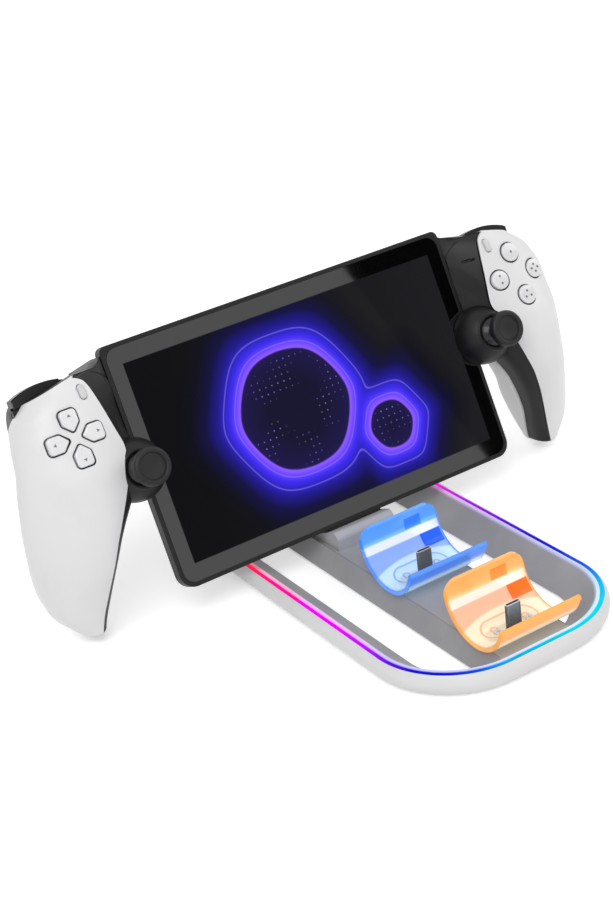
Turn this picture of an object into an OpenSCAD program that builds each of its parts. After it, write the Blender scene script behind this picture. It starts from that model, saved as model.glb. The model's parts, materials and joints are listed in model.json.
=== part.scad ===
// Handheld game console on a lit charging dock with two controller cradles.
// Millimetres, +Z up, +X to the player's right, +Y away from the player.
// The origin is on the surface under the middle of the dock.

/* [Screen unit] */
// Width of the cover glass
glass_w = 192; // [186:1:196]
// Height of the cover glass
glass_h = 117; // [115:1:119]
// Width of the frame round the glass
rim_w = 2.1; // [1.8:0.1:2.4]
// Depth of the screen unit from glass to back
tablet_d = 13.5; // [13:0.5:15]
// Radius of the screen unit's lower corners
tablet_r = 7.5; // [6:0.5:9]
// Border of the glass beside the display panel
border_x = 6; // [5:0.5:9]
// Border of the glass above and below the display panel
border_y = 7; // [5.5:0.5:8.5]
// Thickness of the display panel
panel_t = 2.2; // [1.8:0.1:2.4]
// Thickness of the cover glass
glass_t = 1.1; // [0.8:0.1:1.3]
// Depth of the front frame, from glass to parting line
frame_d = 5; // [4.8:0.1:5.4]
// Wall of every moulded housing
wall = 2; // [1.6:0.1:2.2]

/* [Grips] */
// Reach of each grip beyond the side of the screen unit
grip_w = 61; // [58:0.5:64]
// Wall of the white grip shells
grip_wall = 2; // [1.6:0.1:2.4]
// Squareness of the grip's section, 2 is an ellipse
grip_fullness = 2.35; // [2.2:0.05:2.6]
// Gap between a grip shell and the core inside it
shell_gap = 0.5; // [0.45:0.05:0.6]
// Radius of the vibration motors
motor_r = 7; // [6:0.5:7.5]
// Length of the vibration motors
motor_l = 15; // [12:0.5:16]

/* [Sticks] */
// Sideways distance of each stick from the side of the screen unit
stick_x = 6.8; // [6:0.2:8]
// Height of each stick above the middle of the screen unit
stick_y = 2; // [0:0.5:4]
// Radius of the round pod that holds a stick
pod_r = 15.4; // [14.8:0.1:16]
// Height of the pod's rim in front of the glass
pod_rim = 15.6; // [15:0.1:16.2]
// Height of the stick's pivot in front of the glass
pivot_h = 8.6; // [8.2:0.1:9]
// Outer radius of the stick's round skirt
skirt_r = 9.8; // [9.4:0.1:10]
// Wall of the skirt
skirt_wall = 0.8; // [0.6:0.1:1]
// Gap between the skirt and the pod's socket
skirt_gap = 0.4; // [0.3:0.05:0.5]
// Radius of the stick's stem
stem_r = 3; // [2.6:0.1:3.2]
// Radius of the thumb cap
cap_r = 9.2; // [8.6:0.1:9.6]
// Height of the thumb cap's face above the pivot
cap_top = 19.9; // [19:0.1:21]
// Radius of the small pins in the stick's gimbal
gimbal_pin_r = 1.1; // [0.9:0.1:1.2]

/* [Keys] */
// Sideways distance of the key cluster from the side of the screen unit
cluster_x = 32; // [31:0.5:33]
// Height of the key cluster above the middle of the screen unit
cluster_y = 25.5; // [25:0.5:26.5]
// Distance of an action key from the middle of its cluster
action_pitch = 11.8; // [11:0.2:12.4]
// Radius of an action key
action_r = 4.9; // [4.4:0.1:5.1]
// Distance of a direction key's middle from the middle of its cluster
arrow_pitch = 8.5; // [8.3:0.1:9]
// Width of a direction key
arrow_w = 8.2; // [7.6:0.1:8.6]
// Length of a direction key
arrow_l = 10.2; // [9.4:0.1:10.4]
// Length of the pill-shaped keys
pill_l = 7; // [6:0.2:7.4]
// Width of the pill-shaped keys
pill_w = 3.2; // [2.8:0.1:3.6]
// Gap round every key
key_gap = 0.35; // [0.25:0.05:0.45]
// Height that a key stands proud of its panel
key_proud = 1.4; // [1:0.1:1.8]
// Travel of the action and direction keys
key_travel = 0.9; // [0.6:0.1:1]

/* [Triggers] */
// Width of a trigger
trigger_w = 29; // [27:0.5:29.5]
// Outer radius of a trigger's curved back
trigger_r = 18; // [17:0.5:18.5]
// Thickness of a trigger's wall
trigger_wall = 2.4; // [2:0.1:2.8]
// Radius of the pins that the triggers and bumpers turn on
trigger_pin_r = 1.5; // [1.2:0.1:1.7]
// Outer radius of a bumper's curved bar
bumper_r = 40.6; // [40:0.1:41]
// Thickness of a bumper's bar
bumper_t = 3.2; // [3:0.1:3.4]
// Depth of a bumper from front to back
bumper_d = 6.6; // [6.2:0.2:7]

/* [Dock] */
// Width of the dock's lit line, from side to side
dock_w = 115.2; // [113:0.2:118]
// Length of the dock's lit line, from front to back
dock_l = 215.2; // [212:0.2:224]
// Radius of the lit line's corners
dock_r = 41; // [38:1:44]
// Height of the dock's rim
rim_h = 11.4; // [11:0.1:12]
// Width of the lit line
strip_w = 2; // [1.6:0.1:2.2]
// Width of the sloped inner wall, seen from above
slope_w = 13; // [12:0.5:15]
// Bulge of the outer wall beyond the lit line
bulge = 3.2; // [3:0.1:3.6]
// Height of the deck between the two slots
deck_h = 10.5; // [10:0.1:11]
// Width of the deck's flat top
deck_w = 38.6; // [37:0.2:40]
// Width of the deck at its foot
deck_foot_w = 49; // [47:0.5:51]
// Thickness of the deck and the sloped wall
deck_t = 2; // [1.8:0.1:2.4]
// Thickness of the bottom cover
cover_t = 1.6; // [1.4:0.1:1.8]
// Height of the rubber feet below the covers
foot_h = 0.6; // [0.4:0.1:0.8]
// Radius of the rubber feet
foot_r = 3.4; // [2.5:0.1:3.5]

/* [Cradles] */
// Inner radius of a controller cradle
cradle_r = 19; // [18:0.5:20]
// Width of a controller cradle
cradle_w = 44; // [42:1:46]
// Wall of a controller cradle
cradle_wall = 2; // [1.8:0.1:2.2]
// Distance of the front cradle in front of the dock's middle
cradle_y = 89; // [87:1:90]
// Distance between the two cradles
cradle_pitch = 66; // [64:1:68]
// Rise of the cradle's back edge above its centre, in degrees
cradle_back = 10; // [6:1:14]
// Drop of the cradle's front edge below its centre, in degrees
cradle_front = 15; // [12:1:20]
// Radius of the bead along the cradle's front edge
bead_r = 1.4; // [1.2:0.1:1.6]
// Distance between a cradle's two screws
cradle_screws_pitch = 17.6; // [17:0.2:19]
// Height of the plugs above the deck
plug_h = 14; // [12:0.5:15]

/* [Stand] */
// Angle that the console leans back
lean = 24; // [22:1:26]
// Distance of the screen's lower edge behind the dock's middle
console_y = 35; // [34:0.5:36]
// Height of the screen's lower edge
console_z = 20.5; // [20:0.1:21]
// Width of the stand's knuckle
knuckle_w = 34; // [32:0.5:35]
// Radius of the knuckle about the hinge pin
knuckle_r = 9; // [8.6:0.1:9.2]
// Radius of the hinge pin
pin_r = 1.4; // [1.2:0.1:1.6]
// Height of the stand's back plate along the console
back_h = 62; // [50:1:80]
// Width of the stand's back plate
back_w = 40; // [34:1:60]

/* [Hidden] */
$fn = 64;

// Clearances
run_gap = 0.05;      // radial gap of a pin in its bore
seat_gap = 0.1;      // gap between still pieces that seat on each other
side_gap = 0.3;      // gap beside pieces that move
eps = 0.02;          // overlap that makes a cut clean

// Named colours
ink = "#2f2f31";
soot = "#1d1d1f";
white = "#e9e9ea";
gray = "#9d9d9f";
metal = "#b9bcc0";

// ---------- helpers ----------

// Rounded plate, centred in x and y, from z = 0 up.
module plate(w, h, r, t) {
    linear_extrude(t) rounded(w, h, r);
}

// Rounded rectangle, centred.
module rounded(w, h, r) {
    square([w - 2 * r, h], center = true);
    square([w, h - 2 * r], center = true);
    for (x = [-1, 1], y = [-1, 1])
        translate([x * (w / 2 - r), y * (h / 2 - r)]) circle(r);
}

// Stadium, centred, long along x.
module stadium(w, h) {
    square([w - h, h], center = true);
    for (x = [-1, 1]) translate([x * (w - h) / 2, 0]) circle(h / 2);
}

// Both sides of the console: the shapes are drawn for the right side.
module on_side(side) {
    if (side > 0) children();
    else mirror([1, 0, 0]) children();
}

// Console frame: x across, y up along the glass, z out of the glass.
module console_place() {
    translate([0, console_y, console_z]) rotate([90 - lean, 0, 0]) children();
}

// Grip frame: x from the side of the glass, y from its middle height.
module grip_place(side) {
    console_place() on_side(side) translate([glass_w / 2, glass_h / 2, 0]) children();
}

// Value of a table of [position, value] pairs, with its corners rounded off.
function soft(table, at, reach = 4) =
    (lookup(at - reach, table) + 2 * lookup(at, table) + lookup(at + reach, table)) / 4;

// ---------- grip form ----------
// Sections of the grip at heights above the middle of the screen unit.

// Inset of the outer side from the grip's reach.
outer_inset = [
    [-68, 13], [-58, 3.6], [-48, 1.3], [-36, 0.7], [-22, 0], [-8, 0], [6, 1], [20, 3.2],
    [34, 4.2], [46, 7], [51, 12], [53.5, 18]
];
// Inner side, out from the side of the glass.
inner_side = [
    [-68, 35.5], [-58, 32.6], [-48, 30], [-36, 25.6], [-22, 19.6], [-8, 10], [6, 0.2], [54, 0.2]
];
// Crown of the front.
front_crown = [
    [-68, -18.6], [-58, -12], [-48, -4], [-36, 5], [-22, 12.5], [-8, 16.8], [6, 17.8],
    [20, 15.2], [34, 13.9], [46, 12.2], [53.5, 9.5]
];
// Depth of the widest line.
wide_line = [
    [-68, -31], [-58, -22], [-48, -13.4], [-36, -7], [-22, -2], [-8, 0.8], [6, 1.8],
    [20, 0.7], [34, -1], [46, -5], [53.5, -7]
];
// Bottom of the back.
back_crown = [
    [-68, -37], [-58, -44], [-48, -46], [-36, -43], [-22, -34], [-8, -26], [6, -22.5],
    [20, -21], [53.5, -14]
];
// Inner edge of the white front shell.
panel_edge = [
    [-68, 41], [-58.5, 38.5], [-45.5, 34], [-25.5, 27], [-7, 18.5], [4, 13], [15.5, 10.7],
    [26.5, 12.8], [38.5, 15], [46, 16.6], [51, 18.6], [53.5, 22]
];
// Share by which the outer side sweeps back.
back_sweep = [
    [-68, 0.13], [-58, 0.17], [-48, 0.27], [-36, 0.36], [-22, 0.4], [-8, 0.37], [6, 0.25],
    [20, 0.16], [34, 0.08], [53.5, 0.06]
];
// Fall of a section's outer end below its inner end.
section_fall = [[10, 0], [20, 2], [40, 6], [53.5, 7.5]];
// Rise of a section's back, which keeps the tip off the table.
back_rise = [[-68, 0.38], [-58, 0.27], [-48, 0.2], [-36, 0.1], [-22, 0]];
// Rise of the shoulder towards the screen unit's top corner.
shoulder_rise = [[2, 3.6], [5, 1.2], [8, -0.6], [12, -0.6]];

// Heights of the sections, closer where the form turns.
ring_heights = [
    53.5, 52.2, 49, 43, 35, 27, 21, 17, 12, 6, 0, -7, -15, -23, -31, -39, -46, -52, -57, -61,
    -66, -68
];
rear_first = 7;            // first section that the rear shell takes
bay_low = 20;              // foot of the trigger's bay in the core
bay_back = -4.5;           // floor of that bay
sweep_from = 26;           // where the outer side begins to sweep back
fall_from = 18;            // where the sections begin to fall
fall_over = 32;            // distance over which they fall
side_x = rim_w + 0.15;     // the core's flat side against the screen unit
band_step = 0.8;           // depth of the black band below the white shell
tip_round = 1;             // inset of the last section

function inner_x(h) = soft(inner_side, h);
function outer_x(h) = grip_w - soft(outer_inset, h, 2);
function front_z(h) = soft(front_crown, h, 3);
function wide_z(h) = soft(wide_line, h);
function back_z(h) = soft(back_crown, h);
function sweep_z(h, x) = soft(back_sweep, h) * pow(max(0, x - sweep_from), 2) / 30;

// Power that keeps the sign.
function spow(v, p) = v < 0 ? -pow(-v, p) : pow(v, p);

// Point of a section: 0 degrees faces the screen, 90 the player, 180 outwards.
function section_point(h, angle, inset, back) =
    let (
        deep = inset + (h < -67.5 ? tip_round : 0),
        x0 = inner_x(h) + deep, x1 = outer_x(h) - deep, mid = min(wide_z(h), front_z(h) - 8),
        reach = sin(angle) > 0 ? front_z(h) - deep - mid : mid - back - deep,
        p = 2 / grip_fullness,
        x = (x0 + x1) / 2 - (x1 - x0) / 2 * spow(cos(angle), p),
        z = mid + reach * spow(sin(angle), p) - sweep_z(h, x),
        fall = soft(section_fall, h) * max(0, x - fall_from) / fall_over,
        rise = lookup(h, back_rise) * max(0, front_z(h) - z)
    )
    [x, h - fall + rise, z];

// Share across a section, 0 in its middle and 1 at its side.
function across(h, x) = abs(2 * x - inner_x(h) - outer_x(h)) / (outer_x(h) - inner_x(h));

// Angle of the front shell's inner edge on a section.
function edge_angle(h) =
    let (share = max(0.02, min(0.98, across(h, soft(panel_edge, h, 3)))))
    acos(pow(share, grip_fullness / 2));

// Angle of the seam between the white shells, further back beside the trigger.
function seam(h) = lookup(h, [[12, 184], [26, 218], [42, 218], [50, 184]]);

// Angle where the black band ends at the back.
function band_end(h) = lookup(h, [[0, -9], [12, -80]]);

// Height of the front surface above the glass at a place on the panel.
function panel_z(x, y) =
    wide_z(y) + (front_z(y) - wide_z(y))
        * pow(1 - pow(across(y, x), grip_fullness), 1 / grip_fullness) - sweep_z(y, x);

// Depth of the back surface at a place on the grip.
function rear_z(x, y) =
    wide_z(y) - (wide_z(y) - back_z(y))
        * pow(1 - pow(across(y, x), grip_fullness), 1 / grip_fullness) - sweep_z(y, x);

// Triangles of a quad between two neighbouring rings.
function quad(a, b, c, d) = [[a, b, c], [a, c, d]];

// Solid through closed rings of equal count, each end closed by a fan.
module loft(rings) {
    n = len(rings[0]);
    last = len(rings) - 1;
    middle = function (ring) ring_mean(ring);
    points = concat([for (ring = rings) each ring], [middle(rings[0]), middle(rings[last])]);
    top = (last + 1) * n;
    faces = concat(
        [for (k = [0:last - 1], i = [0:n - 1]) let (j = (i + 1) % n)
            each quad(k * n + i, k * n + j, (k + 1) * n + j, (k + 1) * n + i)],
        [for (i = [0:n - 1]) [top, (i + 1) % n, i]],
        [for (i = [0:n - 1]) [top + 1, last * n + i, last * n + (i + 1) % n]]
    );
    polyhedron(points, faces, convexity = 6);
}
function ring_mean(ring) = [for (axis = [0:2]) vsum([for (p = ring) p[axis]]) / len(ring)];
function vsum(values) = values * [for (v = values) 1];

// Solid through open walls: each ring runs along the outside and back along the inside.
module wall_loft(rings) {
    n = len(rings[0]);
    last = len(rings) - 1;
    faces = concat(
        [for (k = [0:last - 1], i = [0:n - 1]) let (j = (i + 1) % n)
            each quad(k * n + i, k * n + j, (k + 1) * n + j, (k + 1) * n + i)],
        [for (i = [0:n / 2 - 2]) each quad(n - 1 - i, n - 2 - i, i + 1, i)],
        [for (i = [0:n / 2 - 2]) let (s = last * n)
            each quad(s + i, s + i + 1, s + n - 2 - i, s + n - 1 - i)]
    );
    polyhedron([for (ring = rings) each ring], faces, convexity = 6);
}

// Ring of a white shell between two angles.
function shell_ring(h, from, to, steps) = concat(
    [for (i = [0:steps]) section_point(h, from + (to - from) * i / steps, 0, back_z(h))],
    [for (i = [steps:-1:0])
        section_point(h, from + (to - from) * i / steps, grip_wall, back_z(h))]
);

// Point of the shoulder between the screen unit's side and the panel's edge.
function shoulder_point(h, step, steps) =
    let (
        edge = section_point(h, edge_angle(h) - 1.5, band_step, back_z(h)),
        foot = back_z(h) + 1, share = step / steps,
        x = share < 0.4 ? side_x : side_x + (edge[0] - side_x) * (share - 0.4) / 0.6,
        z = share < 0.4 ? foot + (0.3 - foot) * share / 0.4
            : 0.3 + (edge[2] - 0.3) * (share - 0.4) / 0.6,
        rise = lookup(x, shoulder_rise) * max(0, min(1, (h - 42) / 10))
    )
    [x, h + rise, z];

// Ring of the core: black band on the inner side, clear of both shells elsewhere.
function core_ring(h, band_steps, inner_steps) =
    let (
        front = edge_angle(h) - 1.5, rear = band_end(h) + 1.5, depth = grip_wall + shell_gap,
        shoulder = max(0, min(1, (h - 2) / 10))
    )
    concat(
        [for (i = [0:band_steps])
            section_point(h, rear + (front - rear) * i / band_steps, band_step, back_z(h))
                * (1 - shoulder) + shoulder_point(h, i, band_steps) * shoulder],
        [for (i = [0:inner_steps])
            section_point(h, front + (rear + 360 - front) * i / inner_steps, depth, back_z(h))]
    );

// ---------- places on the console ----------
cluster_tilt = 4.5;                       // the key panel looks up a little
cluster_z = panel_z(cluster_x, cluster_y);
pill_at = [-11, 19];                      // pill key from the middle of its cluster
motor_at = [42, -32];                     // vibration motor in the grip
motor_floor = -24;
screw_spots = [[34, 5], [38, -19]];       // grip screws, seen from behind
pivot_at = [stick_x, stick_y];
pod_z = 3.2;                              // centre of the pod's round form
pod_foot = 0.1;                           // foot of the pod over the glass
key_flange = 1;                           // lip under a key that keeps it in
key_depth = 7.4;                          // depth of a key below its face
pad_gap = 1;                              // free travel above a rubber pad

// Middle of a key cluster, looking out of the panel.
module cluster_place(side) {
    grip_place(side) translate([cluster_x, cluster_y, cluster_z])
        rotate([-cluster_tilt, 0, 0]) children();
}

// Outline of a direction key, point towards the middle of the cluster.
module arrow_outline(grow = 0) {
    w = arrow_w + 2 * grow;
    l = arrow_l + 2 * grow;
    nose = l * 0.36;
    round_r = 1.5;
    hull() {
        for (x = [-1, 1]) {
            translate([x * (w / 2 - round_r), l / 2 - round_r]) circle(round_r, $fn = 24);
            translate([x * (w / 2 - round_r), -l / 2 + nose + round_r * 0.4])
                circle(round_r, $fn = 24);
        }
        translate([0, -l / 2 + round_r * 0.9]) circle(round_r * 0.8, $fn = 24);
    }
}

// Outline of each kind of key, at its place in the cluster.
module key_outline(kind, index, grow = 0) {
    if (kind == "action") rotate(index * 90) translate([0, action_pitch])
        circle(action_r + grow);
    if (kind == "arrow") rotate(index * 90) translate([0, arrow_pitch]) arrow_outline(grow);
    if (kind == "pill") translate(pill_at) rotate(90)
        stadium(pill_l + 2 * grow, pill_w + 2 * grow);
}

// Height of the panel at a key, from the cluster plane.
function key_lift(x, y) =
    (panel_z(cluster_x + x, cluster_y + y) - cluster_z) * cos(cluster_tilt)
    + y * sin(cluster_tilt);

// Place of a key's middle in the cluster.
function key_spot(kind, index) =
    kind == "pill" ? pill_at
    : let (reach = kind == "action" ? action_pitch : arrow_pitch)
        [-reach * sin(index * 90), reach * cos(index * 90)];

// One key: face, body through the panel and lip under it.
module key(side, kind, index = 0, proud = key_proud) {
    spot = key_spot(kind, index);
    lift = key_lift(spot[0], spot[1]);
    cluster_place(side) translate([0, 0, lift]) {
        translate([0, 0, -key_depth + key_proud]) linear_extrude(key_depth - key_proud + proud)
            key_outline(kind, index);
        translate([0, 0, -key_depth + key_proud]) linear_extrude(1.2)
            key_outline(kind, index, key_flange);
    }
}

// Cuts for all keys of a side: holes through the shell.
module key_holes(side, kind) {
    count = 4;
    cluster_place(side) {
        for (i = [0:count - 1]) {
            translate([0, 0, -8]) linear_extrude(20) key_outline(kind, i, key_gap);
            lip_z = key_lift(key_spot(kind, i)[0], key_spot(kind, i)[1]) + key_proud - key_depth;
            translate([0, 0, lip_z - 2]) linear_extrude(2 + 1.2 + 0.3)
                key_outline(kind, i, key_flange + key_gap);
        }
        translate([0, 0, -8]) linear_extrude(20) key_outline("pill", 0, key_gap);
    }
}

// Pockets for the keys in the core.
module key_pockets(side) {
    cluster_place(side) {
        translate([0, 0, pocket_floor]) cylinder(r = pocket_r, h = 30);
        translate([pill_at[0], pill_at[1], pocket_floor]) cylinder(r = 5.4, h = 30);
    }
}
pocket_floor = -11.6;
pocket_r = max(action_pitch + action_r, arrow_pitch + arrow_l / 2) + key_flange + 0.6;

// Round form of the pod, grown by a clearance.
module pod_form(grow) {
    translate([pivot_at[0], pivot_at[1], pod_z]) sphere(pod_r + grow, $fn = 96);
    translate([pivot_at[0], pivot_at[1], pod_foot - grow])
        cylinder(r = pod_r + grow, h = pod_z - pod_foot + grow, $fn = 96);
}

// ---------- dock ----------
cover_z = foot_h;                         // underside of the covers
cover_top = foot_h + cover_t;
slope_top = -strip_w / 2 - 0.2;           // top of the slope, in from the lit line
slope_foot = slope_top - 1.4 - slope_w;
strip_z = rim_h - 2.8;                    // underside of the light strip
ribbon_t = 0.5;
bulge_r = 7.5;                            // radius of the outer wall's bulge
bulge_z = 6.4;
hinge_y = 33.5;                           // hinge pin of the stand
hinge_z = 6.2;
barrel_r = 3.6;
well_r = knuckle_r + 0.6;
well_back = 56;
screw_r = 1.1;
head_r = 2;
head_h = 1.2;
bore_len = 2.4;
ear_reach = 19.8;                         // half the length of the hinge pin
plug_w = 8.25;
plug_t = 2.4;
board_z = cover_top + 1;
board_t = 1.2;
cradle_z = deck_h + cradle_wall + cradle_r;
cradle_spots = [cradle_pitch - cradle_y, -cradle_y];  // rear, front
pedestal_w = 30;
pedestal_t = 12;
ring_screws = [[1, 1, 0], [1, -1, 0], [-1, 1, 0], [-1, -1, 0]];
foot_y = 64;
screw_y = 48;
ring_mid = -8.5;                            // middle of the ring's base, from the lit line

// Sweeps a profile round the dock; its x is the distance out from the lit line.
module sweep() {
    flat_w = dock_w - 2 * dock_r;
    flat_l = dock_l - 2 * dock_r;
    for (s = [0, 180]) rotate(s) {
        translate([dock_w / 2, flat_l / 2, 0]) rotate([90, 0, 0]) linear_extrude(flat_l) children();
        translate([-flat_w / 2, dock_l / 2, 0]) rotate([90, 0, 90]) linear_extrude(flat_w) children();
    }
    for (x = [0, 1], y = [0, 1])
        translate([(x ? 1 : -1) * flat_w / 2, (y ? 1 : -1) * flat_l / 2, 0])
            rotate((y ? 0 : -90) + (x ? 0 : (y ? 90 : -90)))
                rotate_extrude(angle = 90) translate([dock_r, 0]) children();
}

// Outer wall's section: bulge above, tucked in at the foot.
module base_profile() {
    mid = bulge - bulge_r;
    top_angle = asin((rim_h - 0.3 - bulge_z) / bulge_r);
    outer = [for (i = [0:12]) let (a = top_angle - (top_angle + 42) * i / 12)
        [mid + bulge_r * cos(a), bulge_z + bulge_r * sin(a)]];
    inner_r = bulge_r - wall;
    shelf = strip_z - ribbon_t - 0.1;
    end_angle = asin((shelf - 1.1 - bulge_z) / inner_r);
    inner = [for (i = [0:10]) let (a = -40 + (40 + end_angle) * i / 10)
        [mid + inner_r * cos(a), bulge_z + inner_r * sin(a)]];
    foot = [[-2.6, cover_z], [-4.6, cover_z], [-4.6, cover_z + 1], [-3.4, cover_z + 1.4]];
    lip = [[-0.7, shelf - 0.9], [-0.7, shelf], [strip_w / 2 + 0.05, shelf],
        [strip_w / 2 + 0.05, rim_h - 0.3]];
    polygon(concat(outer, foot, inner, lip));
}

module base_shell() color(white) difference() {
    sweep() base_profile();
    translate([0, dock_l / 2, inlet_z]) rotate([90, 0, 0])
        linear_extrude(16, center = true) stadium(inlet_w + 0.6, inlet_t + 0.6);
}
inlet_w = 9;
inlet_t = 3.2;
inlet_z = cover_top + 2.2;

// Sloped inner wall's section.
module slope_profile() {
    x0 = slope_top;
    foot = slope_foot;
    run = 1.4;
    polygon([
        [x0, strip_z - ribbon_t - 0.6], [x0, rim_h], [x0 - run, rim_h],
        [foot, cover_z + 0.6], [foot, cover_z], [foot + deck_t * 1.5, cover_z],
        [foot + deck_t * 1.5 + 0.2, cover_z + 1], [x0 - run - 0.2, rim_h - deck_t * 1.45],
        [x0 - run - 0.2, strip_z - ribbon_t - 0.6]
    ]);
}

// Deck between the slots, in section.
module deck_profile(inset) {
    top = deck_h - inset;
    foot = cover_z - (inset > 0 ? 1 : 0);
    polygon([
        [-deck_foot_w / 2 + inset * 1.2, foot], [deck_foot_w / 2 - inset * 1.2, foot],
        [deck_w / 2 - inset * 0.6, top], [-deck_w / 2 + inset * 0.6, top]
    ]);
}

deck_reach = dock_l / 2 + slope_top - 1.2;

module deck_frame() color(gray) difference() {
    union() {
        sweep() slope_profile();
        difference() {
            rotate([90, 0, 0]) linear_extrude(2 * deck_reach, center = true) deck_profile(0);
            // hollow under the deck, in front of and behind the well
            for (span = hollows) translate([0, span[1], 0]) rotate([90, 0, 0])
                linear_extrude(span[1] - span[0]) deck_profile(deck_t);
            well();
        }
        for (y = cradle_spots, x = [-1, 1])
            translate([x * cradle_screws_pitch / 2, y, board_z + board_t + 0.2])
                cylinder(r = 2.6, h = deck_h - deck_t - board_z - board_t + 0.2);
        for (s = ring_screws)
            translate([s[0] * (dock_w / 2 + ring_mid), s[1] * screw_y, cover_top + 0.1])
                cylinder(r = 2.6, h = bore_len);
    }
    // room for the cover's ring, the outer wall's foot and the inlet
    translate([0, 0, cover_z - 1]) linear_extrude(cover_t + 1.4)
        ring_area(0, slope_foot + deck_t * 1.5 + 0.2);
    translate([0, dock_l / 2 - 6, inlet_z]) rotate([90, 0, 0])
        linear_extrude(16, center = true) stadium(inlet_w + 0.6, inlet_t + 0.6);
    for (x = [-1, 1]) translate([x * (deck_w / 2 - 0.5), 0, deck_h])
        cube([0.5, 2 * deck_reach - 6, 0.7], center = true);
    for (y = cradle_spots) {
        translate([0, y, 0]) linear_extrude(deck_h + 1) stadium(plug_w + 0.6, plug_t + 0.6);
        for (x = [-1, 1]) translate([x * cradle_screws_pitch / 2, y, board_z])
            cylinder(r = screw_r + run_gap, h = deck_h);
    }
    for (s = ring_screws)
        translate([s[0] * (dock_w / 2 + ring_mid), s[1] * screw_y, cover_z])
            cylinder(r = screw_r + run_gap, h = cover_t + bore_len);
    translate([0, hinge_y, hinge_z]) rotate([0, 90, 0])
        cylinder(r = pin_r + run_gap, h = 2 * ear_reach + 0.2, center = true);
}
hollows = [
    [-deck_reach + 13.6, hinge_y - well_r - 3], [well_back + 3, deck_reach - 13.6]
];

// Well that the stand swings in.
module well() {
    w = knuckle_w + 2 * side_gap;
    translate([0, hinge_y, hinge_z]) rotate([0, 90, 0]) cylinder(r = well_r, h = w, center = true);
    translate([-w / 2, hinge_y, cover_z - 1]) cube([w, well_back - hinge_y, deck_h + 2]);
    translate([-w / 2, hinge_y - well_r, cover_z - 1]) cube([w, well_r, deck_h + 2]);
}

module light_strip() color("#c8d8ff") sweep() {
    translate([-strip_w / 2, strip_z]) square([strip_w, rim_h + 0.2 - strip_z - strip_w / 2]);
    translate([0, rim_h + 0.2 - strip_w / 2]) circle(strip_w / 2, $fn = 24);
}

module led_ribbon() color("#e8e4d0") sweep()
    translate([-strip_w / 2, strip_z - ribbon_t]) square([strip_w, ribbon_t - 0.05]);

module ring_area(outer, inner) difference() {
    rounded(dock_w + 2 * outer, dock_l + 2 * outer, dock_r + outer);
    rounded(dock_w + 2 * inner, dock_l + 2 * inner, dock_r + inner);
}

module bottom_cover() color("#6b6b6d") difference() {
    union() {
        translate([0, 0, cover_z]) linear_extrude(cover_t)
            ring_area(-4.8, slope_foot + deck_t * 1.5 + 0.4);
        translate([0, 0, cover_z + 0.01]) linear_extrude(cover_t) beam_area();
    }
    for (x = [-1, 1], y = [-1, 1])
        translate([x * (dock_w / 2 + ring_mid), y * foot_y, cover_z - 1])
            cylinder(r = foot_r + 0.1, h = 1.6);
    for (s = ring_screws)
        translate([s[0] * (dock_w / 2 + ring_mid), s[1] * screw_y, cover_z - 1]) {
            cylinder(r = screw_r + 0.2, h = 4);
            cylinder(r = head_r + 0.2, h = 1.6);
        }
}

// Cover under the deck, in its two hollows and across the well.
module beam_area() {
    w = deck_foot_w - 2 * deck_t * 1.2 - 3;
    for (span = hollows) translate([-w / 2, span[0] + 0.2])
        square([w, span[1] - span[0] - 0.4]);
    well_w = knuckle_w + 2 * side_gap - 0.4;
    translate([-well_w / 2, hinge_y - well_r + 0.2])
        square([well_w, well_back - hinge_y + well_r - 0.4]);
}

module dock_board() color("#2f6b46") {
    for (span = [[hollows[0][0] + 2, hollows[0][1] - 2], [hollows[1][0] + 1, hollows[1][1] - 1]])
        translate([-board_w / 2, span[0], board_z]) cube([board_w, span[1] - span[0], board_t]);
}
board_w = 30;

module power_inlet() color(metal) difference() {
    translate([0, dock_l / 2 + bulge - 1.4, inlet_z]) rotate([90, 0, 0])
        linear_extrude(inlet_l) stadium(inlet_w, inlet_t);
    translate([0, dock_l / 2 + bulge, inlet_z]) rotate([90, 0, 0])
        linear_extrude(inlet_l - 1) difference() {
            stadium(inlet_w - 0.7, inlet_t - 0.7);
            square([inlet_w - 3, 0.8], center = true);
        }
}
inlet_l = 6.6;

module rubber_feet() color("#38383a") for (x = [-1, 1], y = [-1, 1])
    translate([x * (dock_w / 2 + ring_mid), y * foot_y, 0]) cylinder(r = foot_r, h = cover_z + 0.6);

// Pan-head screw, head down at z = 0.
module screw(length) {
    difference() {
        cylinder(r = head_r, h = head_h, $fn = 32);
        for (a = [0, 90]) rotate(a) cube([2.2, 0.5, 1], center = true);
    }
    translate([0, 0, head_h - eps]) cylinder(r = screw_r, h = length, $fn = 32);
}

module dock_screws() color(metal) {
    for (s = ring_screws)
        translate([s[0] * (dock_w / 2 + ring_mid), s[1] * screw_y, cover_z + 0.6 - head_h])
            screw(3);
    for (y = cradle_spots, x = [-1, 1])
        translate([x * cradle_screws_pitch / 2, y, deck_h + cradle_seat + head_h])
            rotate([180, 0, 0]) screw(5);
}
cradle_seat = 1.6;                        // height of a screw's seat above the deck

// Rounds one upper corner of a cradle's end.
module corner_cut(x, z, r) {
    for (s = [-1, 1]) translate([s * (x - r), 0, z - r]) difference() {
        translate([s > 0 ? 0 : -2 * r, -60, 0]) cube([2 * r, 120, 2 * r]);
        rotate([90, 0, 0]) cylinder(r = r, h = 130, center = true);
    }
}

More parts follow.
